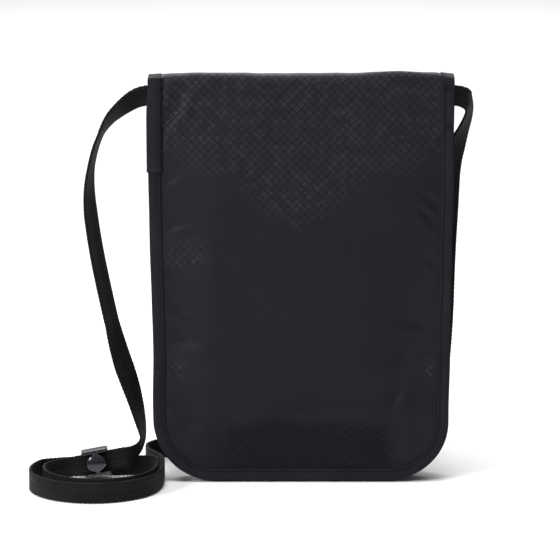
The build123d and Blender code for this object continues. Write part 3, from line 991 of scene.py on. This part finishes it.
# folded edge tape
def foldedTape(name, half, low, top, corner, front, back, steps, wall):
    # a plate with two round corners, drawn back, then each face is stepped in to the tape's section
    spare = 0.012
    bpy.ops.object.select_all(action="DESELECT")
    bpy.ops.mesh.primitive_plane_add(size=1, location=(0, front, (low + top + spare) / 2),
                                     rotation=(math.pi / 2, 0, 0))
    piece = bpy.context.object
    piece.name = name
    piece.scale = (2 * half, top + spare - low, 1)
    applyPlace(piece)
    openMesh(piece)
    pick(piece, "verts", lambda vertex: vertex.co.z < low + 0.001)
    bpy.ops.mesh.bevel(offset=corner, segments=16, affect="VERTICES")
    bpy.ops.mesh.select_all(action="SELECT")
    bpy.ops.mesh.extrude_region_move(TRANSFORM_OT_translate={"value": (0, back - front, 0)})
    bpy.ops.mesh.select_all(action="SELECT")
    bpy.ops.mesh.normals_make_consistent(inside=False)
    bpy.ops.mesh.select_mode(type="FACE")
    for facing in (-1, 1):
        pick(piece, "faces", lambda face: face.normal.y * facing > 0.9 and face.calc_area() > 0.004)
        for inset, lift in steps:
            bpy.ops.mesh.inset(thickness=inset, depth=0, use_even_offset=True)
            bpy.ops.transform.translate(value=(0, facing * lift, 0))
        bpy.ops.mesh.delete(type="FACE")
    bpy.ops.mesh.select_all(action="SELECT")
    bpy.ops.mesh.bisect(plane_co=(0, 0, top), plane_no=(0, 0, 1), clear_outer=True)
    bpy.ops.mesh.select_mode(type="EDGE")

    def longEdge(edge, axis, least):
        return abs(edge.verts[0].co[axis] - edge.verts[1].co[axis]) > least

    pick(piece, "edges", lambda edge: longEdge(edge, 2, 0.1))
    bpy.ops.mesh.subdivide(number_cuts=80)
    pick(piece, "edges", lambda edge: longEdge(edge, 0, 0.05))
    bpy.ops.mesh.subdivide(number_cuts=40)
    if back - front > 0.005:
        pick(piece, "edges", lambda edge: longEdge(edge, 1, 0.004))
        bpy.ops.mesh.subdivide(number_cuts=5)
    closeMesh()
    writeUv(piece, lambda spot: tapeSpot(spot, half, low, corner, front))
    for vertex in piece.data.vertices:
        # slight quilting between stitches, and a soft outer wall
        outward = wobble(0.00016, vertex.co.x / 0.009, 5.0, vertex.co.z / 0.009)
        vertex.co.y += outward if vertex.co.y > (front + back) / 2 else -outward
    settle(piece)
    finishWith(piece, "SOLIDIFY", thickness=wall, offset=-1)
    smooth(piece, 50)
    return piece


def tapeSpot(spot, half, low, corner, front):
    # distance along the tape from the bottom's middle, and in from its outer edge
    side = 1 if spot.x >= 0 else -1
    straight = half - corner
    across, down = abs(spot.x) - straight, low + corner - spot.z
    if down <= 0:
        along, inward = straight + corner * math.pi / 2 - down, half - abs(spot.x)
    elif across <= 0:
        along, inward = abs(spot.x), spot.z - low
    else:
        along, inward = straight + corner * math.atan2(across, down), corner - math.hypot(across, down)
    return side * along, inward + (spot.y - front)


def tapeLine(half, low, corner, top, inset, spacing):
    # points along the tape at one distance in from its edge, with the direction there
    cornerIn = corner - inset
    straight = half - corner
    points = []
    for side in (-1, 1):
        z = low + corner
        while z < top:
            points.append((side * (half - inset), z, math.pi / 2))
            z += spacing
        count = int(cornerIn * math.pi / 2 / spacing)
        for k in range(1, count + 1):
            angle = math.pi / 2 * (k - 0.5) / count
            points.append((side * (straight + cornerIn * math.sin(angle)),
                           low + corner - cornerIn * math.cos(angle), side * angle))
    count = int(2 * straight / spacing)
    for k in range(count):
        points.append((-straight + 2 * straight * (k + 0.5) / count, low + inset, 0.0))
    return points


# stitches
thread = {"length": 0.0021, "radius": 0.00021, "spacing": 0.0027}


def stitchRow(first, last, spacing=thread["spacing"]):
    # (x, z, angle) along a straight seam
    run = math.hypot(last[0] - first[0], last[1] - first[1])
    angle = math.atan2(last[1] - first[1], last[0] - first[0])
    count = max(int(run / spacing), 1)
    return [(first[0] + (last[0] - first[0]) * (k + 0.5) / count,
             first[1] + (last[1] - first[1]) * (k + 0.5) / count, angle) for k in range(count)]


def barTack(left, right, z):
    # close upright stitches that lock a seam
    return stitchRow((left, z), (right, z), 0.0005)


def patchRows(low, high, inset=0.0018):
    # four seams round a patch
    corners = [(low.x + inset, low.z + inset), (high.x - inset, low.z + inset),
               (high.x - inset, high.z - inset), (low.x + inset, high.z - inset)]
    return [stitchRow(first, last) for first, last in zip(corners, corners[1:] + corners[:1])]


def sewStitches(name, rows, body, length=thread["length"]):
    # rows are (points, depth at a point, swing); each stitch is one small spindle
    bpy.ops.object.select_all(action="DESELECT")
    bpy.ops.mesh.primitive_uv_sphere_add(segments=6, ring_count=4, radius=1)
    spindle = bpy.context.object
    spindle.scale = (length / 2, thread["radius"], thread["radius"])
    applyPlace(spindle)
    copies = []
    for points, depthAt, turn in rows:
        for x, z, angle in points:
            x = swayed(x, z)
            stitch = bpy.data.objects.new(name, spindle.data.copy())
            spot = Matrix.Translation((x, depthAt(x, z), z))
            stitch.data.transform(spot @ Matrix.Rotation(-angle - turn, 4, "Y"))
            bpy.context.collection.objects.link(stitch)
            copies.append(stitch)
    bpy.data.objects.remove(spindle)
    piece = joined(copies, name)
    activate(piece)
    bpy.ops.object.shade_smooth()
    print(name, len(copies), "stitches")
    return dress(piece, finishes["thread"], body)


# flap
flap = {
    "thickness": 0.0005,
    "foldRadius": 0.0032,
    "bulge": 0.0034,
    "foldStrength": 1.5,
    "deepest": -0.0003,         # the cloth never sinks further than this
    "leftSlope": 0.028,         # how far in from the tape the bulge rises on each side
    "rightSlope": 0.038,
    "bottomSlope": 0.044,
    "topFlat": (0.204, 0.060),  # the bulge dies out over this length below this height
    # height, length across and length up of the slow waves and the fine ones
    "slowWaves": (0.0010, 0.034, 0.050),
    "fineWaves": (0.00035, 0.013, 0.018),
    # height, length along the seam and reach of the gathers at the sides and the bottom
    "sideGather": (0.00090, 0.0052, 0.006),
    "bottomGather": (0.00030, 0.006, 0.005),
    "columns": 110,
    # x, extra height of the fold
    "topRise": [(-0.0725, -0.0016), (-0.0600, 0.0003), (-0.0480, 0.0010), (-0.0120, 0.0002),
                (0.0200, 0.0006), (0.0490, 0.0020), (0.0620, 0.0009), (0.0725, -0.0012)],
    # x, z, angle, length, width, height of each fold and pucker
    "folds": [
        (-0.061, 0.1224, 20, 0.007, 0.0022, 0.0007), (-0.061, 0.0824, -15, 0.008, 0.0024, 0.0007),
        (-0.056, 0.0657, -12, 0.013, 0.0034, 0.0010), (-0.062, 0.0350, -28, 0.006, 0.0020, 0.0007),
        (-0.061, 0.0301, -35, 0.007, 0.0020, 0.0007), (-0.062, 0.0990, 8, 0.005, 0.0020, 0.0004),
        (-0.062, 0.0500, -20, 0.005, 0.0020, 0.0004), (-0.060, 0.1460, 30, 0.006, 0.0024, 0.0004),
        (0.0610, 0.1347, -42, 0.006, 0.0020, 0.0009), (0.0575, 0.1293, -50, 0.005, 0.0020, 0.0007),
        (0.0625, 0.1058, -35, 0.005, 0.0019, 0.0006), (0.0640, 0.0892, -45, 0.004, 0.0016, 0.0004),
        (0.0575, 0.0751, -8, 0.009, 0.0028, 0.0008), (0.0550, 0.0615, 42, 0.012, 0.0040, 0.0010),
        (0.0500, 0.0400, 58, 0.013, 0.0040, 0.0009), (0.0630, 0.0520, 25, 0.005, 0.0018, 0.0004),
        (0.0630, 0.1600, -30, 0.006, 0.0020, 0.0004),
        (-0.0640, 0.1880, 80, 0.009, 0.0030, 0.0007), (-0.0560, 0.1790, 62, 0.012, 0.0034, 0.0009),
        (0.0505, 0.0200, 82, 0.016, 0.0050, 0.0008), (-0.0480, 0.0260, 70, 0.010, 0.0050, 0.0005),
        (0.0100, 0.0350, 4, 0.040, 0.0050, 0.0008),
    ],
}
tapeInner = flapHigh.x - outline["tapeWidth"]


def topRise(x):
    return alongList(flap["topRise"], x)


def flapRelief(x, z):
    # how far the cloth stands out of its flat plane, inside the tape
    side = tapeInner - abs(x)
    bottom = z - (flapLow.z + outline["tapeWidth"])
    corner = outline["flapCorner"] - outline["tapeWidth"]
    cx, cz = tapeInner - corner, flapLow.z + outline["flapCorner"]
    if abs(x) > cx and z < cz:
        side = bottom = corner - math.hypot(abs(x) - cx, cz - z)
    inside = min(side, bottom)
    if inside <= 0:
        return 0.0
    slope = flap["leftSlope" if x < 0 else "rightSlope"]
    puff = flap["bulge"] * (1 + 0.1 * ease(-x / 0.030)) * ease(side / slope)
    flatFrom, fade = flap["topFlat"]
    puff = puff * ease(bottom / flap["bottomSlope"]) * ease((flatFrom - z) / fade)
    height, across, up = flap["slowWaves"]
    soft = wobble(height, x / across, 3.1, z / up)
    height, across, up = flap["fineWaves"]
    soft += wobble(height, x / across, 8.4, z / up)
    height, along, reach = flap["sideGather"]
    gather = wobble(height, 2.0 if x > 0 else 9.0, 0.4, z / along) * math.exp(-side / reach)
    height, along, reach = flap["bottomGather"]
    gather += wobble(height, x / along, 6.0, 0.0) * math.exp(-max(bottom, 0) / reach)
    total = puff + soft + gather
    for fx, fz, angle, length, width, height in flap["folds"]:
        dx, dz = x - fx, z - fz
        turn = math.radians(angle)
        along = (dx * math.cos(turn) + dz * math.sin(turn)) / length
        across = (dz * math.cos(turn) - dx * math.sin(turn)) / width
        if abs(along) < 3 and abs(across) < 5:
            ridge = 0.6 * math.exp(-across ** 2) - 0.9 * math.exp(-(across - 1.5) ** 2)
            total += flap["foldStrength"] * height * math.exp(-along ** 2) * ridge
    total = max(total, flap["deepest"])
    return total * ease(inside / 0.003) - 0.00025 * math.exp(-inside / 0.0012)


def flapRows():
    low, corner = panelLow.z, outline["flapCorner"] - outline["tuck"]
    shoulder = foldHigh.z - flap["foldRadius"]
    rows = [("front", z) for z in outlineRows(low, shoulder, corner, 18, 0.0014)]
    rows += [("round", math.pi / 2 * k / 8) for k in range(1, 9)]
    rows += [("over", k / 8) for k in range(1, 9)]
    return rows


def flapPlace(u, row):
    part, value = row
    radius = flap["foldRadius"]
    half, corner = panelHigh.x, outline["flapCorner"] - outline["tuck"]
    shoulder = foldHigh.z - radius
    if part == "front":
        x = u * cornerHalf(value, half, panelLow.z, corner)
        out = flapRelief(x, value)
        z = value + topRise(x) * ease((value - 0.150) / (shoulder - 0.150))
        return (swayed(x, value), panelLow.y - out, z), (x, value)
    x = u * half
    rise = topRise(x)
    wrinkle = wobble(0.00025, x / 0.009, 2.2, 0.5)
    if part == "round":
        y = panelLow.y + radius - radius * math.cos(value)
        z = shoulder + radius * math.sin(value) + rise + wrinkle * math.sin(value)
        return (swayed(x, shoulder), y, z), (x, shoulder + radius * value)
    start = panelLow.y + radius
    y = start + (foldHigh.y - start) * value
    z = foldHigh.z + rise * (1 - 0.7 * value) + wrinkle - 0.0008 * ease((value - 0.7) / 0.3)
    return (swayed(x, shoulder), y, z), (x, shoulder + radius * math.pi / 2 + y - start)


tapeSteps = [(0.0003, 0.00022), (0.0004, 0.00010), (0.0030, 0.0), (0.00045, -0.00018), (0.00045, 0.00018),
             (0.0010, 0.0), (0.0004, -0.00035)]


def buildFlap():
    cloth = clothSheet("flapCloth", flap["columns"], flapRows(), flapPlace, flap["thickness"])
    dress(cloth, finishes["patterned"], "flap", "patterned_cloth", "flap_panel", "flap_top_fold")
    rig.sheet(cloth, flat=(2 * panelHigh.x, 0.214), held="folded", rests_on=["flap_lining"])

    liningLow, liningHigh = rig.box("flap_lining")
    corner = outline["flapCorner"] - outline["tuck"]

    def liningPlace(u, z):
        x = -u * cornerHalf(z, liningHigh.x, liningLow.z, corner)
        cloth = flapRelief(x, z)
        out = min(0.25 * cloth, cloth) - 0.00022 * abs(noise.noise(Vector((x / 0.020, 4.0, z / 0.030))))
        return (swayed(x, z), liningHigh.y - max(out, -0.0004), z), (x, z)

    rows = outlineRows(liningLow.z, liningHigh.z, corner, 14, 0.0030)
    lining = clothSheet("flapLining", 60, rows, liningPlace, 0.00035)
    dress(lining, finishes["lining"], "flap", "lining_cloth", "flap_lining")
    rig.sheet(lining, flat=(2 * liningHigh.x, liningHigh.z - liningLow.z), held="stretched",
             rests_on=["flapCloth"])

    binding = foldedTape("flapBinding", flapHigh.x, flapLow.z, flapHigh.z - 0.001, outline["flapCorner"],
                         flapLow.y + 0.0003, flapHigh.y - 0.0003, tapeSteps, 0.0004)
    dress(binding, finishes["tape"], "flap", "edge_tape", "flap_binding")
    print("flap ready")
    return cloth


def tapeOverTop(side):
    # the edge tape carries on over the fold
    def place(u, row):
        inner, outer = flapHigh.x - outline["tapeWidth"], flapHigh.x
        x = side * ((inner + outer) / 2) + u * (outer - inner) / 2
        spot, flat = flapPlace(max(min(x / panelHigh.x, 1), -1), row)
        part, value = row
        lift = 0.00045
        angle = 0 if part == "front" else value if part == "round" else math.pi / 2
        y, z = spot[1] - lift * math.cos(angle), spot[2] + lift * math.sin(angle)
        if part == "front":
            y = min(y, flapLow.y)
        return (swayed(x, 0.190), y, z), (flat[1], flapHigh.x - abs(x))

    rows = [row for row in flapRows() if row[0] != "front" or row[1] > 0.1925]
    piece = clothSheet("tapeOverLeft" if side < 0 else "tapeOverRight", 6, rows, place, 0.0009)
    return dress(piece, finishes["tape"], "flap", "edge_tape")


overlapEnd = {
    "ridges": [(0.1865, 0.0006, 0.00022), (0.1685, 0.0010, 0.00025), (0.1545, 0.0008, -0.00012)],
    "hemHeight": 0.0022,
    "stitchX": (-0.0683, -0.0669),
}


def buildOverlap():
    low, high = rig.box("binding_overlap_end")

    def place(u, z):
        x = (low.x + high.x) / 2 + u * (high.x - low.x) / 2
        y = low.y - wobble(0.00008, x / 0.003, 0.3, z / 0.006)
        for ridgeZ, width, height in overlapEnd["ridges"]:
            y -= height * math.exp(-((z - ridgeZ) / width) ** 2)
        if z < low.z + overlapEnd["hemHeight"]:
            y -= 0.00030
        skew = 0.0009 * ease((high.z - z) / 0.020)
        edge = ease((1 - abs(u)) / 0.25)
        return (swayed(x, 0.19) - skew * (1 if u < 0 else 0.2), y + 0.0003 * (1 - edge), z), (z, x - low.x)

    rows = evenRows(low.z, high.z, 70)
    piece = clothSheet("overlapEnd", 12, rows, place, 0.0005)
    finishWith(piece, "BEVEL", width=0.0001, segments=1, angle_limit=math.radians(60))
    return dress(piece, finishes["tape"], "flap", "edge_tape", "binding_overlap_end")


def buildPatch(name, node, body, slot, finish, facing):
    # hook or loop tape with heat-cut rounded corners
    low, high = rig.box(node)
    bpy.ops.object.select_all(action="DESELECT")
    bpy.ops.mesh.primitive_cube_add(size=1, location=(low + high) / 2)
    piece = bpy.context.object
    piece.name = name
    piece.scale = high - low
    applyPlace(piece)
    openMesh(piece, "EDGE")
    pick(piece, "edges", lambda edge: abs(edge.verts[0].co.y - edge.verts[1].co.y) > 0.0005)
    bpy.ops.mesh.bevel(offset=0.0030, segments=5)
    bpy.ops.mesh.select_mode(type="FACE")
    pick(piece, "faces", lambda face: face.normal.y * facing > 0.9)
    bpy.ops.mesh.inset(thickness=0.0016, depth=0)
    bpy.ops.mesh.inset(thickness=0.0004, depth=0)
    bpy.ops.transform.translate(value=(0, facing * -0.00025, 0))
    bpy.ops.mesh.inset(thickness=0.0004, depth=0)
    bpy.ops.transform.translate(value=(0, facing * 0.00025, 0))
    closeMesh()
    finishWith(piece, "BEVEL", width=0.00012, segments=2, angle_limit=math.radians(50))
    smooth(piece)
    return dress(piece, finishes[finish], body, slot, node)


flapCloth = buildFlap()
buildOverlap()
tapeOverTop(-1)
tapeOverTop(1)
buildPatch("hookPatch", "hook_patch", "flap", "hook_tape", "hooks", 1)


def flapStitches():
    front, back = flapLow.y, flapHigh.y
    half, low, corner, top = flapHigh.x, flapLow.z, outline["flapCorner"], flapHigh.z
    seam = tapeLine(half, low, corner, top - 0.004, 0.00415, thread["spacing"])
    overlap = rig.box("binding_overlap_end")[0]
    shown = [spot for spot in seam if not (spot[0] < 0 and spot[1] > overlap.z)]
    onTape = [(shown, lambda x, z: front + 0.00004, 0.0)]
    onTape.append((seam, lambda x, z: back - 0.00004, 0.0))
    for x in overlapEnd["stitchX"]:
        row = stitchRow((x, overlap.z + 0.001), (x, top - 0.003))
        onTape.append((row, lambda x, z: overlap.y - 0.0001, 0.0))
    tackDepth = front - 0.00006
    for z in (0.1938, 0.1926, 0.1914, 0.1745, 0.1735):
        onTape.append((barTack(0.0672, 0.0718, z), lambda x, z: tackDepth, math.pi / 2))
    hookLow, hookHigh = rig.box("hook_patch")
    onTape += [(row, lambda x, z: hookHigh.y - 0.0001, 0.0) for row in patchRows(hookLow, hookHigh)]
    return sewStitches("flapStitches", onTape, "flap")


flapStitches()


# body of the pouch
body = {
    "clothThickness": 0.00035,
    "backBulge": 0.0016,
    "zipFlat": 0.011,           # the cloth lies flat this close to a zip's middle
    "hemStitch": 0.0022,
    "zipSeam": 0.0071,          # from a zip's middle to the seam beside it
}
zipHeights = {side: sum(corner.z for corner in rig.box(side + "_zip_teeth")) / 2
              for side in ("front", "back")}
bodyHalf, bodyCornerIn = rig.box("back_panel_lower")[1].x, outline["bodyCorner"] - outline["tuck"]


def bodyEdge(x, z):
    # distance in from the body tape's inner edge
    inner = bodyHigh.x - outline["tapeWidth"]
    corner = outline["bodyCorner"] - outline["tapeWidth"]
    side, bottom = inner - abs(x), z - outline["tapeWidth"]
    if side < corner and z < outline["bodyCorner"]:
        return corner - math.hypot(corner - side, outline["bodyCorner"] - z)
    return min(side, bottom)


def backRelief(x, z):
    flat = ease((abs(z - zipHeights["back"]) - body["zipFlat"]) / 0.020)
    puff = body["backBulge"] * ease(bodyEdge(x, z) / 0.022)
    soft = wobble(0.0006, x / 0.026, 11.0, z / 0.034)
    pucker = wobble(0.0004, 1.0 if x > 0 else 4.0, 7.0, z / 0.006)
    pucker *= math.exp(-max(bodyEdge(x, z), 0) / 0.007)
    seam = wobble(0.00018, x / 0.0045, 0.2, 3.0 if z > zipHeights["back"] else 8.0)
    seam *= math.exp(-max(abs(z - zipHeights["back"]) - 0.0055, 0) / 0.004)
    return ((puff + soft) * flat + pucker + seam) * ease(bodyEdge(x, z) / 0.003) * ease((0.189 - z) / 0.014)


def frontRelief(x, z):
    # small, because the closed flap lies just in front
    flat = ease((abs(z - zipHeights["front"]) - body["zipFlat"]) / 0.016)
    soft = wobble(0.0003, x / 0.024, 15.0, z / 0.030)
    pucker = wobble(0.00022, 5.0 if x > 0 else 6.0, 9.0, z / 0.006)
    pucker *= math.exp(-max(bodyEdge(x, z), 0) / 0.007)
    return (soft * flat + pucker) * ease(bodyEdge(x, z) / 0.003)


def bodySheet(name, node, facing, waviness, finish, slotName, step=0.0022):
    low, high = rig.box(node)
    face = low.y if facing < 0 else high.y

    def place(u, z):
        x = -facing * u * cornerHalf(z, bodyHalf, bodyLow.z + outline["tuck"], bodyCornerIn)
        return (swayed(x, z), face + facing * waviness(x, z), z), (x, z)

    if low.z < 0.020:
        rows = outlineRows(low.z, high.z, bodyCornerIn, 12, step)
    else:
        count = max(int((high.z - low.z) / step), 2)
        rows = evenRows(low.z, high.z, count)
    piece = clothSheet(name, 70, rows, place, body["clothThickness"])
    dress(piece, finishes[finish], "pouch", slotName, node)
    width, length = high.x - low.x, high.z - low.z
    area = sum(polygon.area for polygon in piece.data.polygons) / 2
    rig.sheet(piece, flat=(width, length), held="stretched", rests_on=["body_binding"],
             area=min(max(area, 0.35 * width * length), width * length))
    return piece


def stillness(x, z):
    return wobble(0.00015, x / 0.022, 21.0, z / 0.026)


def slipRelief(x, z):
    # the open mouth of the slip pocket stands off a little in the middle
    return frontRelief(x, z) + 0.0006 * ease((z - 0.070) / 0.034) * ease(bodyEdge(x, z) / 0.030)


def slipHem():
    low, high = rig.box("slip_pocket_hem")

    def place(u, z):
        x = u * high.x
        level = (z - low.z) / (high.z - low.z)
        roll = 0.00035 * math.sqrt(max(1 - (2 * level - 1) ** 4, 0))
        return (swayed(x, z), high.y - roll - slipRelief(x, z), z), (x, z - low.z)

    rows = evenRows(low.z, high.z, 12)
    piece = clothSheet("slipPocketHem", 70, rows, place, 0.0003)
    return dress(piece, finishes["tape"], "pouch", "edge_tape", "slip_pocket_hem")


def zipTapes(side, facing):
    for level in ("upper", "lower"):
        node = side + "_zip_tape_" + level
        low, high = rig.box(node)
        face = low.y if facing < 0 else high.y

        def place(u, z):
            x = -facing * u * high.x
            lie = wobble(0.00005, x / 0.008, 13.0, z / 0.003)
            return (swayed(x, z), face - facing * 0.00008 + facing * lie, z), (x, z)

        rows = evenRows(low.z, high.z, 6)
        piece = clothSheet(side + "ZipTape" + level.title(), 90, rows, place, 0.0003)
        dress(piece, finishes["zipTape"], "pouch", "zip_tape", node)


zipTab = {"start": 0.0578, "height": 0.0056, "thickness": 0.0003}


def zipTabs(side, facing):
    # cloth tabs that close the tape beyond each stop
    tapeLow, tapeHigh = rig.box(side + "_zip_tape_upper")
    middle = zipHeights[side]
    face = (tapeLow.y if facing < 0 else tapeHigh.y) + facing * 0.00022
    for end, label in ((-1, "Left"), (1, "Right")):
        first, last = zipTab["start"], bodyHalf

        def place(u, step):
            x = end * (first + (last - first) * (step if end * facing < 0 else 1 - step))
            z = middle + u * zipTab["height"] / 2
            crown = 0.00012 * (1 - u * u)
            return (swayed(x, z), face + facing * crown, z), (z, x)

        rows = [k / 8 for k in range(9)]
        piece = clothSheet(side + "ZipTab" + label, 8, rows, place, zipTab["thickness"])
        dress(piece, finishes["tape"], "pouch", "edge_tape")


bodySheet("backPanelUpper", "back_panel_upper", 1, backRelief, "patternedBack", "patterned_cloth")
bodySheet("backPanelLower", "back_panel_lower", 1, backRelief, "patternedBack", "patterned_cloth", 0.0018)
bodySheet("backLining", "back_lining", -1, stillness, "lining", "lining_cloth", 0.004)
bodySheet("dividerPanel", "divider_panel", 1, stillness, "lining", "lining_cloth", 0.004)
bodySheet("frontPanelUpper", "front_panel_upper", -1, frontRelief, "lining", "lining_cloth")
bodySheet("frontPanelLower", "front_panel_lower", -1, frontRelief, "lining", "lining_cloth")
bodySheet("slipPocket", "slip_pocket_panel", -1, slipRelief, "lining", "lining_cloth")
slipHem()
zipTapes("front", -1)
zipTapes("back", 1)
zipTabs("front", -1)
zipTabs("back", 1)
buildPatch("loopPatch", "loop_patch", "pouch", "loop_tape", "loops", -1)

bodySteps = [(0.0003, 0.00025), (0.0005, 0.00015), (0.0028, 0.0), (0.00045, -0.00018), (0.00045, 0.00018),
             (0.0011, 0.0), (0.0004, -0.00032)]
bodyBinding = foldedTape("bodyBinding", bodyHigh.x, bodyLow.z, bodyHigh.z, outline["bodyCorner"],
                         bodyLow.y + 0.0004, bodyHigh.y - 0.0004, bodySteps, 0.0005)
dress(bodyBinding, finishes["tape"], "pouch", "edge_tape", "body_binding")


def anchorEnd(side):
    # sewn end of the neck strap in the side seam
    low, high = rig.box("strap_anchor_left" if side < 0 else "strap_anchor_right")

    def place(u, x):
        z = (low.z + high.z) / 2 + u * (high.z - low.z) / 2 * (-side)
        return (x, low.y + wobble(0.00005, x / 0.002, 1.0, z / 0.002), z), (x, z)

    rows = evenRows(low.x, high.x, 10)
    if side > 0:
        rows.reverse()
    piece = clothSheet("strapEndLeft" if side < 0 else "strapEndRight", 6, rows, place, 0.0011)
    return dress(piece, finishes["webbing"], "pouch", "webbing",
                 "strap_anchor_left" if side < 0 else "strap_anchor_right")


anchorEnd(-1)
anchorEnd(1)

hinge = {"low": 0.1880, "stand": 0.00035, "thickness": 0.0004}


def buildHinge():
    # cloth that runs from the back of the body up to the rear of the fold
    half = foldHigh.x - 0.0010

    def place(u, z):
        x = -u * half
        part = (z - hinge["low"]) / (foldHigh.z - 0.0006 - hinge["low"])
        rear = bodyHigh.y + hinge["stand"]
        y = rear + (foldHigh.y - bodyHigh.y - hinge["stand"]) * ease((part - 0.55) / 0.45)
        y += wobble(0.00012, x / 0.010, 17.0, z / 0.006) * (1 - part)
        return (swayed(x, 0.19), y, z + topRise(x) * 0.3 * part), (x, z)

    rows = evenRows(hinge["low"], foldHigh.z - 0.0006, 16)
    piece = clothSheet("hingeStrip", 90, rows, place, hinge["thickness"])
    dress(piece, finishes["tape"], None, "edge_tape")
    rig.blend(piece, "pouch", "flap", start=(0, 0.0055, 0.1915), end=(0, 0.0053, 0.1972))
    return piece


buildHinge()
print("body ready")


# zips
zipTooth = {"pitch": 0.00125, "width": 0.00082, "slant": 9.0}


def buildTeeth(side):
    low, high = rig.box(side + "_zip_teeth")
    middle = zipHeights[side]
    rows = []
    for direction in (-1, 1):
        outerEdge, innerEdge = middle + direction * (high.z - low.z) / 2, middle - direction * 0.00015
        bpy.ops.object.select_all(action="DESELECT")
        place = (low.x + zipTooth["pitch"] * (0.5 if direction > 0 else 1.0), (low.y + high.y) / 2,
                 (outerEdge + innerEdge) / 2)
        lean = (0, math.radians(zipTooth["slant"]), 0)
        bpy.ops.mesh.primitive_cube_add(size=1, location=place, rotation=lean)
        tooth = bpy.context.object
        tooth.scale = (zipTooth["width"], high.y - low.y, abs(outerEdge - innerEdge))
        applyPlace(tooth)
        openMesh(tooth, "EDGE")
        bpy.ops.mesh.select_all(action="SELECT")
        bpy.ops.mesh.bevel(offset=0.00026, segments=2)
        closeMesh()
        count = int((high.x - low.x) / zipTooth["pitch"])
        finishWith(tooth, "ARRAY", count=count, use_relative_offset=False, use_constant_offset=True,
                   constant_offset_displace=(zipTooth["pitch"], 0, 0))
        smooth(tooth, 60)
        rows.append(tooth)
    piece = joined(rows, side + "ZipCoil")
    return dress(piece, finishes["coil"], "pouch", "zip_teeth", side + "_zip_teeth")


def softenedCopy(node, name, bodyName, slotName, finish, width, segments=2):
    # the part's own shape with its edges broken
    piece = bpy.data.objects.new(name, frame["nodes"][node].data.copy())
    bpy.context.collection.objects.link(piece)
    openMesh(piece)
    bpy.ops.mesh.select_all(action="SELECT")
    bpy.ops.mesh.remove_doubles(threshold=0.000002)
    bpy.ops.mesh.dissolve_limited(angle_limit=math.radians(1))
    closeMesh()
    if width:
        finishWith(piece, "BEVEL", width=width, segments=segments, limit_method="ANGLE",
                   angle_limit=math.radians(40))
    smooth(piece, 35)
    return dress(piece, finishes[finish], bodyName, slotName, node)


for side in ("front", "back"):
    buildTeeth(side)
    softenedCopy(side + "_zip_stops", side + "ZipStops", "pouch", "dark_metal", "metal", 0.00025)
    softenedCopy(side + "_zip_slider", side + "ZipSlider", side + "_slider", "dark_metal", "metal", 0.00018)
    softenedCopy(side + "_zip_pull", side + "ZipPull", side + "_pull", "dark_metal", "metal", 0.00016)
print("zips ready")


# strap adjuster
adjuster = {"grain": 0.00025, "softening": 7, "domeSize": (0.0050, 0.0021, 0.0046), "domeStand": 0.0022,
            "lean": (math.radians(-9.7), math.radians(4.3))}


def buildAdjuster():
    piece = softenedCopy("strap_adjuster", "strapAdjuster", "adjuster", "adjuster_plastic", "plastic", 0)
    low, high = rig.box("strap_adjuster")
    bpy.ops.object.select_all(action="DESELECT")
    spot = (low + high) / 2 - Vector((0, adjuster["domeStand"], 0))
    bpy.ops.mesh.primitive_uv_sphere_add(segments=32, ring_count=16, radius=1, location=spot)
    dome = bpy.context.object
    dome.scale = adjuster["domeSize"]
    dome.rotation_euler = (0, adjuster["lean"][0], adjuster["lean"][1])
    applyPlace(dome)
    joined([piece, dome], "strapAdjuster")
    finishWith(piece, "REMESH", mode="VOXEL", voxel_size=adjuster["grain"])
    finishWith(piece, "SMOOTH", factor=0.5, iterations=adjuster["softening"])
    activate(piece)
    bpy.ops.object.shade_smooth()
    return piece


adjusterPiece = buildAdjuster()


def bodyStitches():
    rows = []
    top = bodyHigh.z
    line = tapeLine(bodyHigh.x, bodyLow.z, outline["bodyCorner"], top - 0.003, 0.0040, thread["spacing"])
    rows.append((line, lambda x, z: bodyHigh.y - 0.00005, 0.0))
    rows.append((line, lambda x, z: bodyLow.y + 0.00005, 0.0))
    inner = bodyHigh.x - outline["tapeWidth"] - 0.0004
    for side, facing, waviness in (("front", -1, frontRelief), ("back", 1, backRelief)):
        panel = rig.box(side + "_panel_lower")
        face = panel[0].y if facing < 0 else panel[1].y
        zipSeam = body["zipSeam"]
        for seam in (zipHeights[side] - zipSeam, zipHeights[side] + zipSeam, top - body["hemStitch"]):
            rows.append((stitchRow((-inner, seam), (inner, seam)),
                         lambda x, z, face=face, facing=facing, waviness=waviness:
                         face + facing * (waviness(x, z) + 0.00005), 0.0))
    hemLow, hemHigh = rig.box("slip_pocket_hem")
    for z in (hemLow.z + 0.0012, hemHigh.z - 0.0014):
        rows.append((stitchRow((-inner, z), (inner, z)),
                     lambda x, z: hemHigh.y - 0.00036 - slipRelief(x, z), 0.0))
    loopLow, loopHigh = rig.box("loop_patch")
    rows += [(row, lambda x, z: loopLow.y + 0.0001, 0.0) for row in patchRows(loopLow, loopHigh)]
    for side in (-1, 1):
        for z in (0.1925, 0.1838):
            left, right = sorted((side * 0.0662, side * 0.0700))
            rows.append((barTack(left, right, z), lambda x, z: bodyHigh.y + 0.00002, math.pi / 2))
    return sewStitches("bodyStitches", rows, "pouch")


def hingeStitches():
    half = foldHigh.x - 0.002
    depth = bodyHigh.y + hinge["stand"] - 0.00008
    rows = [(stitchRow((-half, z), (half, z)), lambda x, z: depth, 0.0) for z in (0.1893, 0.1911)]
    return sewStitches("hingeStitches", rows, "pouch")


bodyStitches()
hingeStitches()

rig.cord(strapPiece, exit=strapLine[0], length=strapTotal, diameter=strap["width"], far_end="object",
        stiffness="limp", lay="loose", path=strapLine, with_pieces=[adjusterPiece])

json.dump({"cad": cadBounds, "visual": [list(corner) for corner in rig.bounds()]},
          open("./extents.json", "w"))
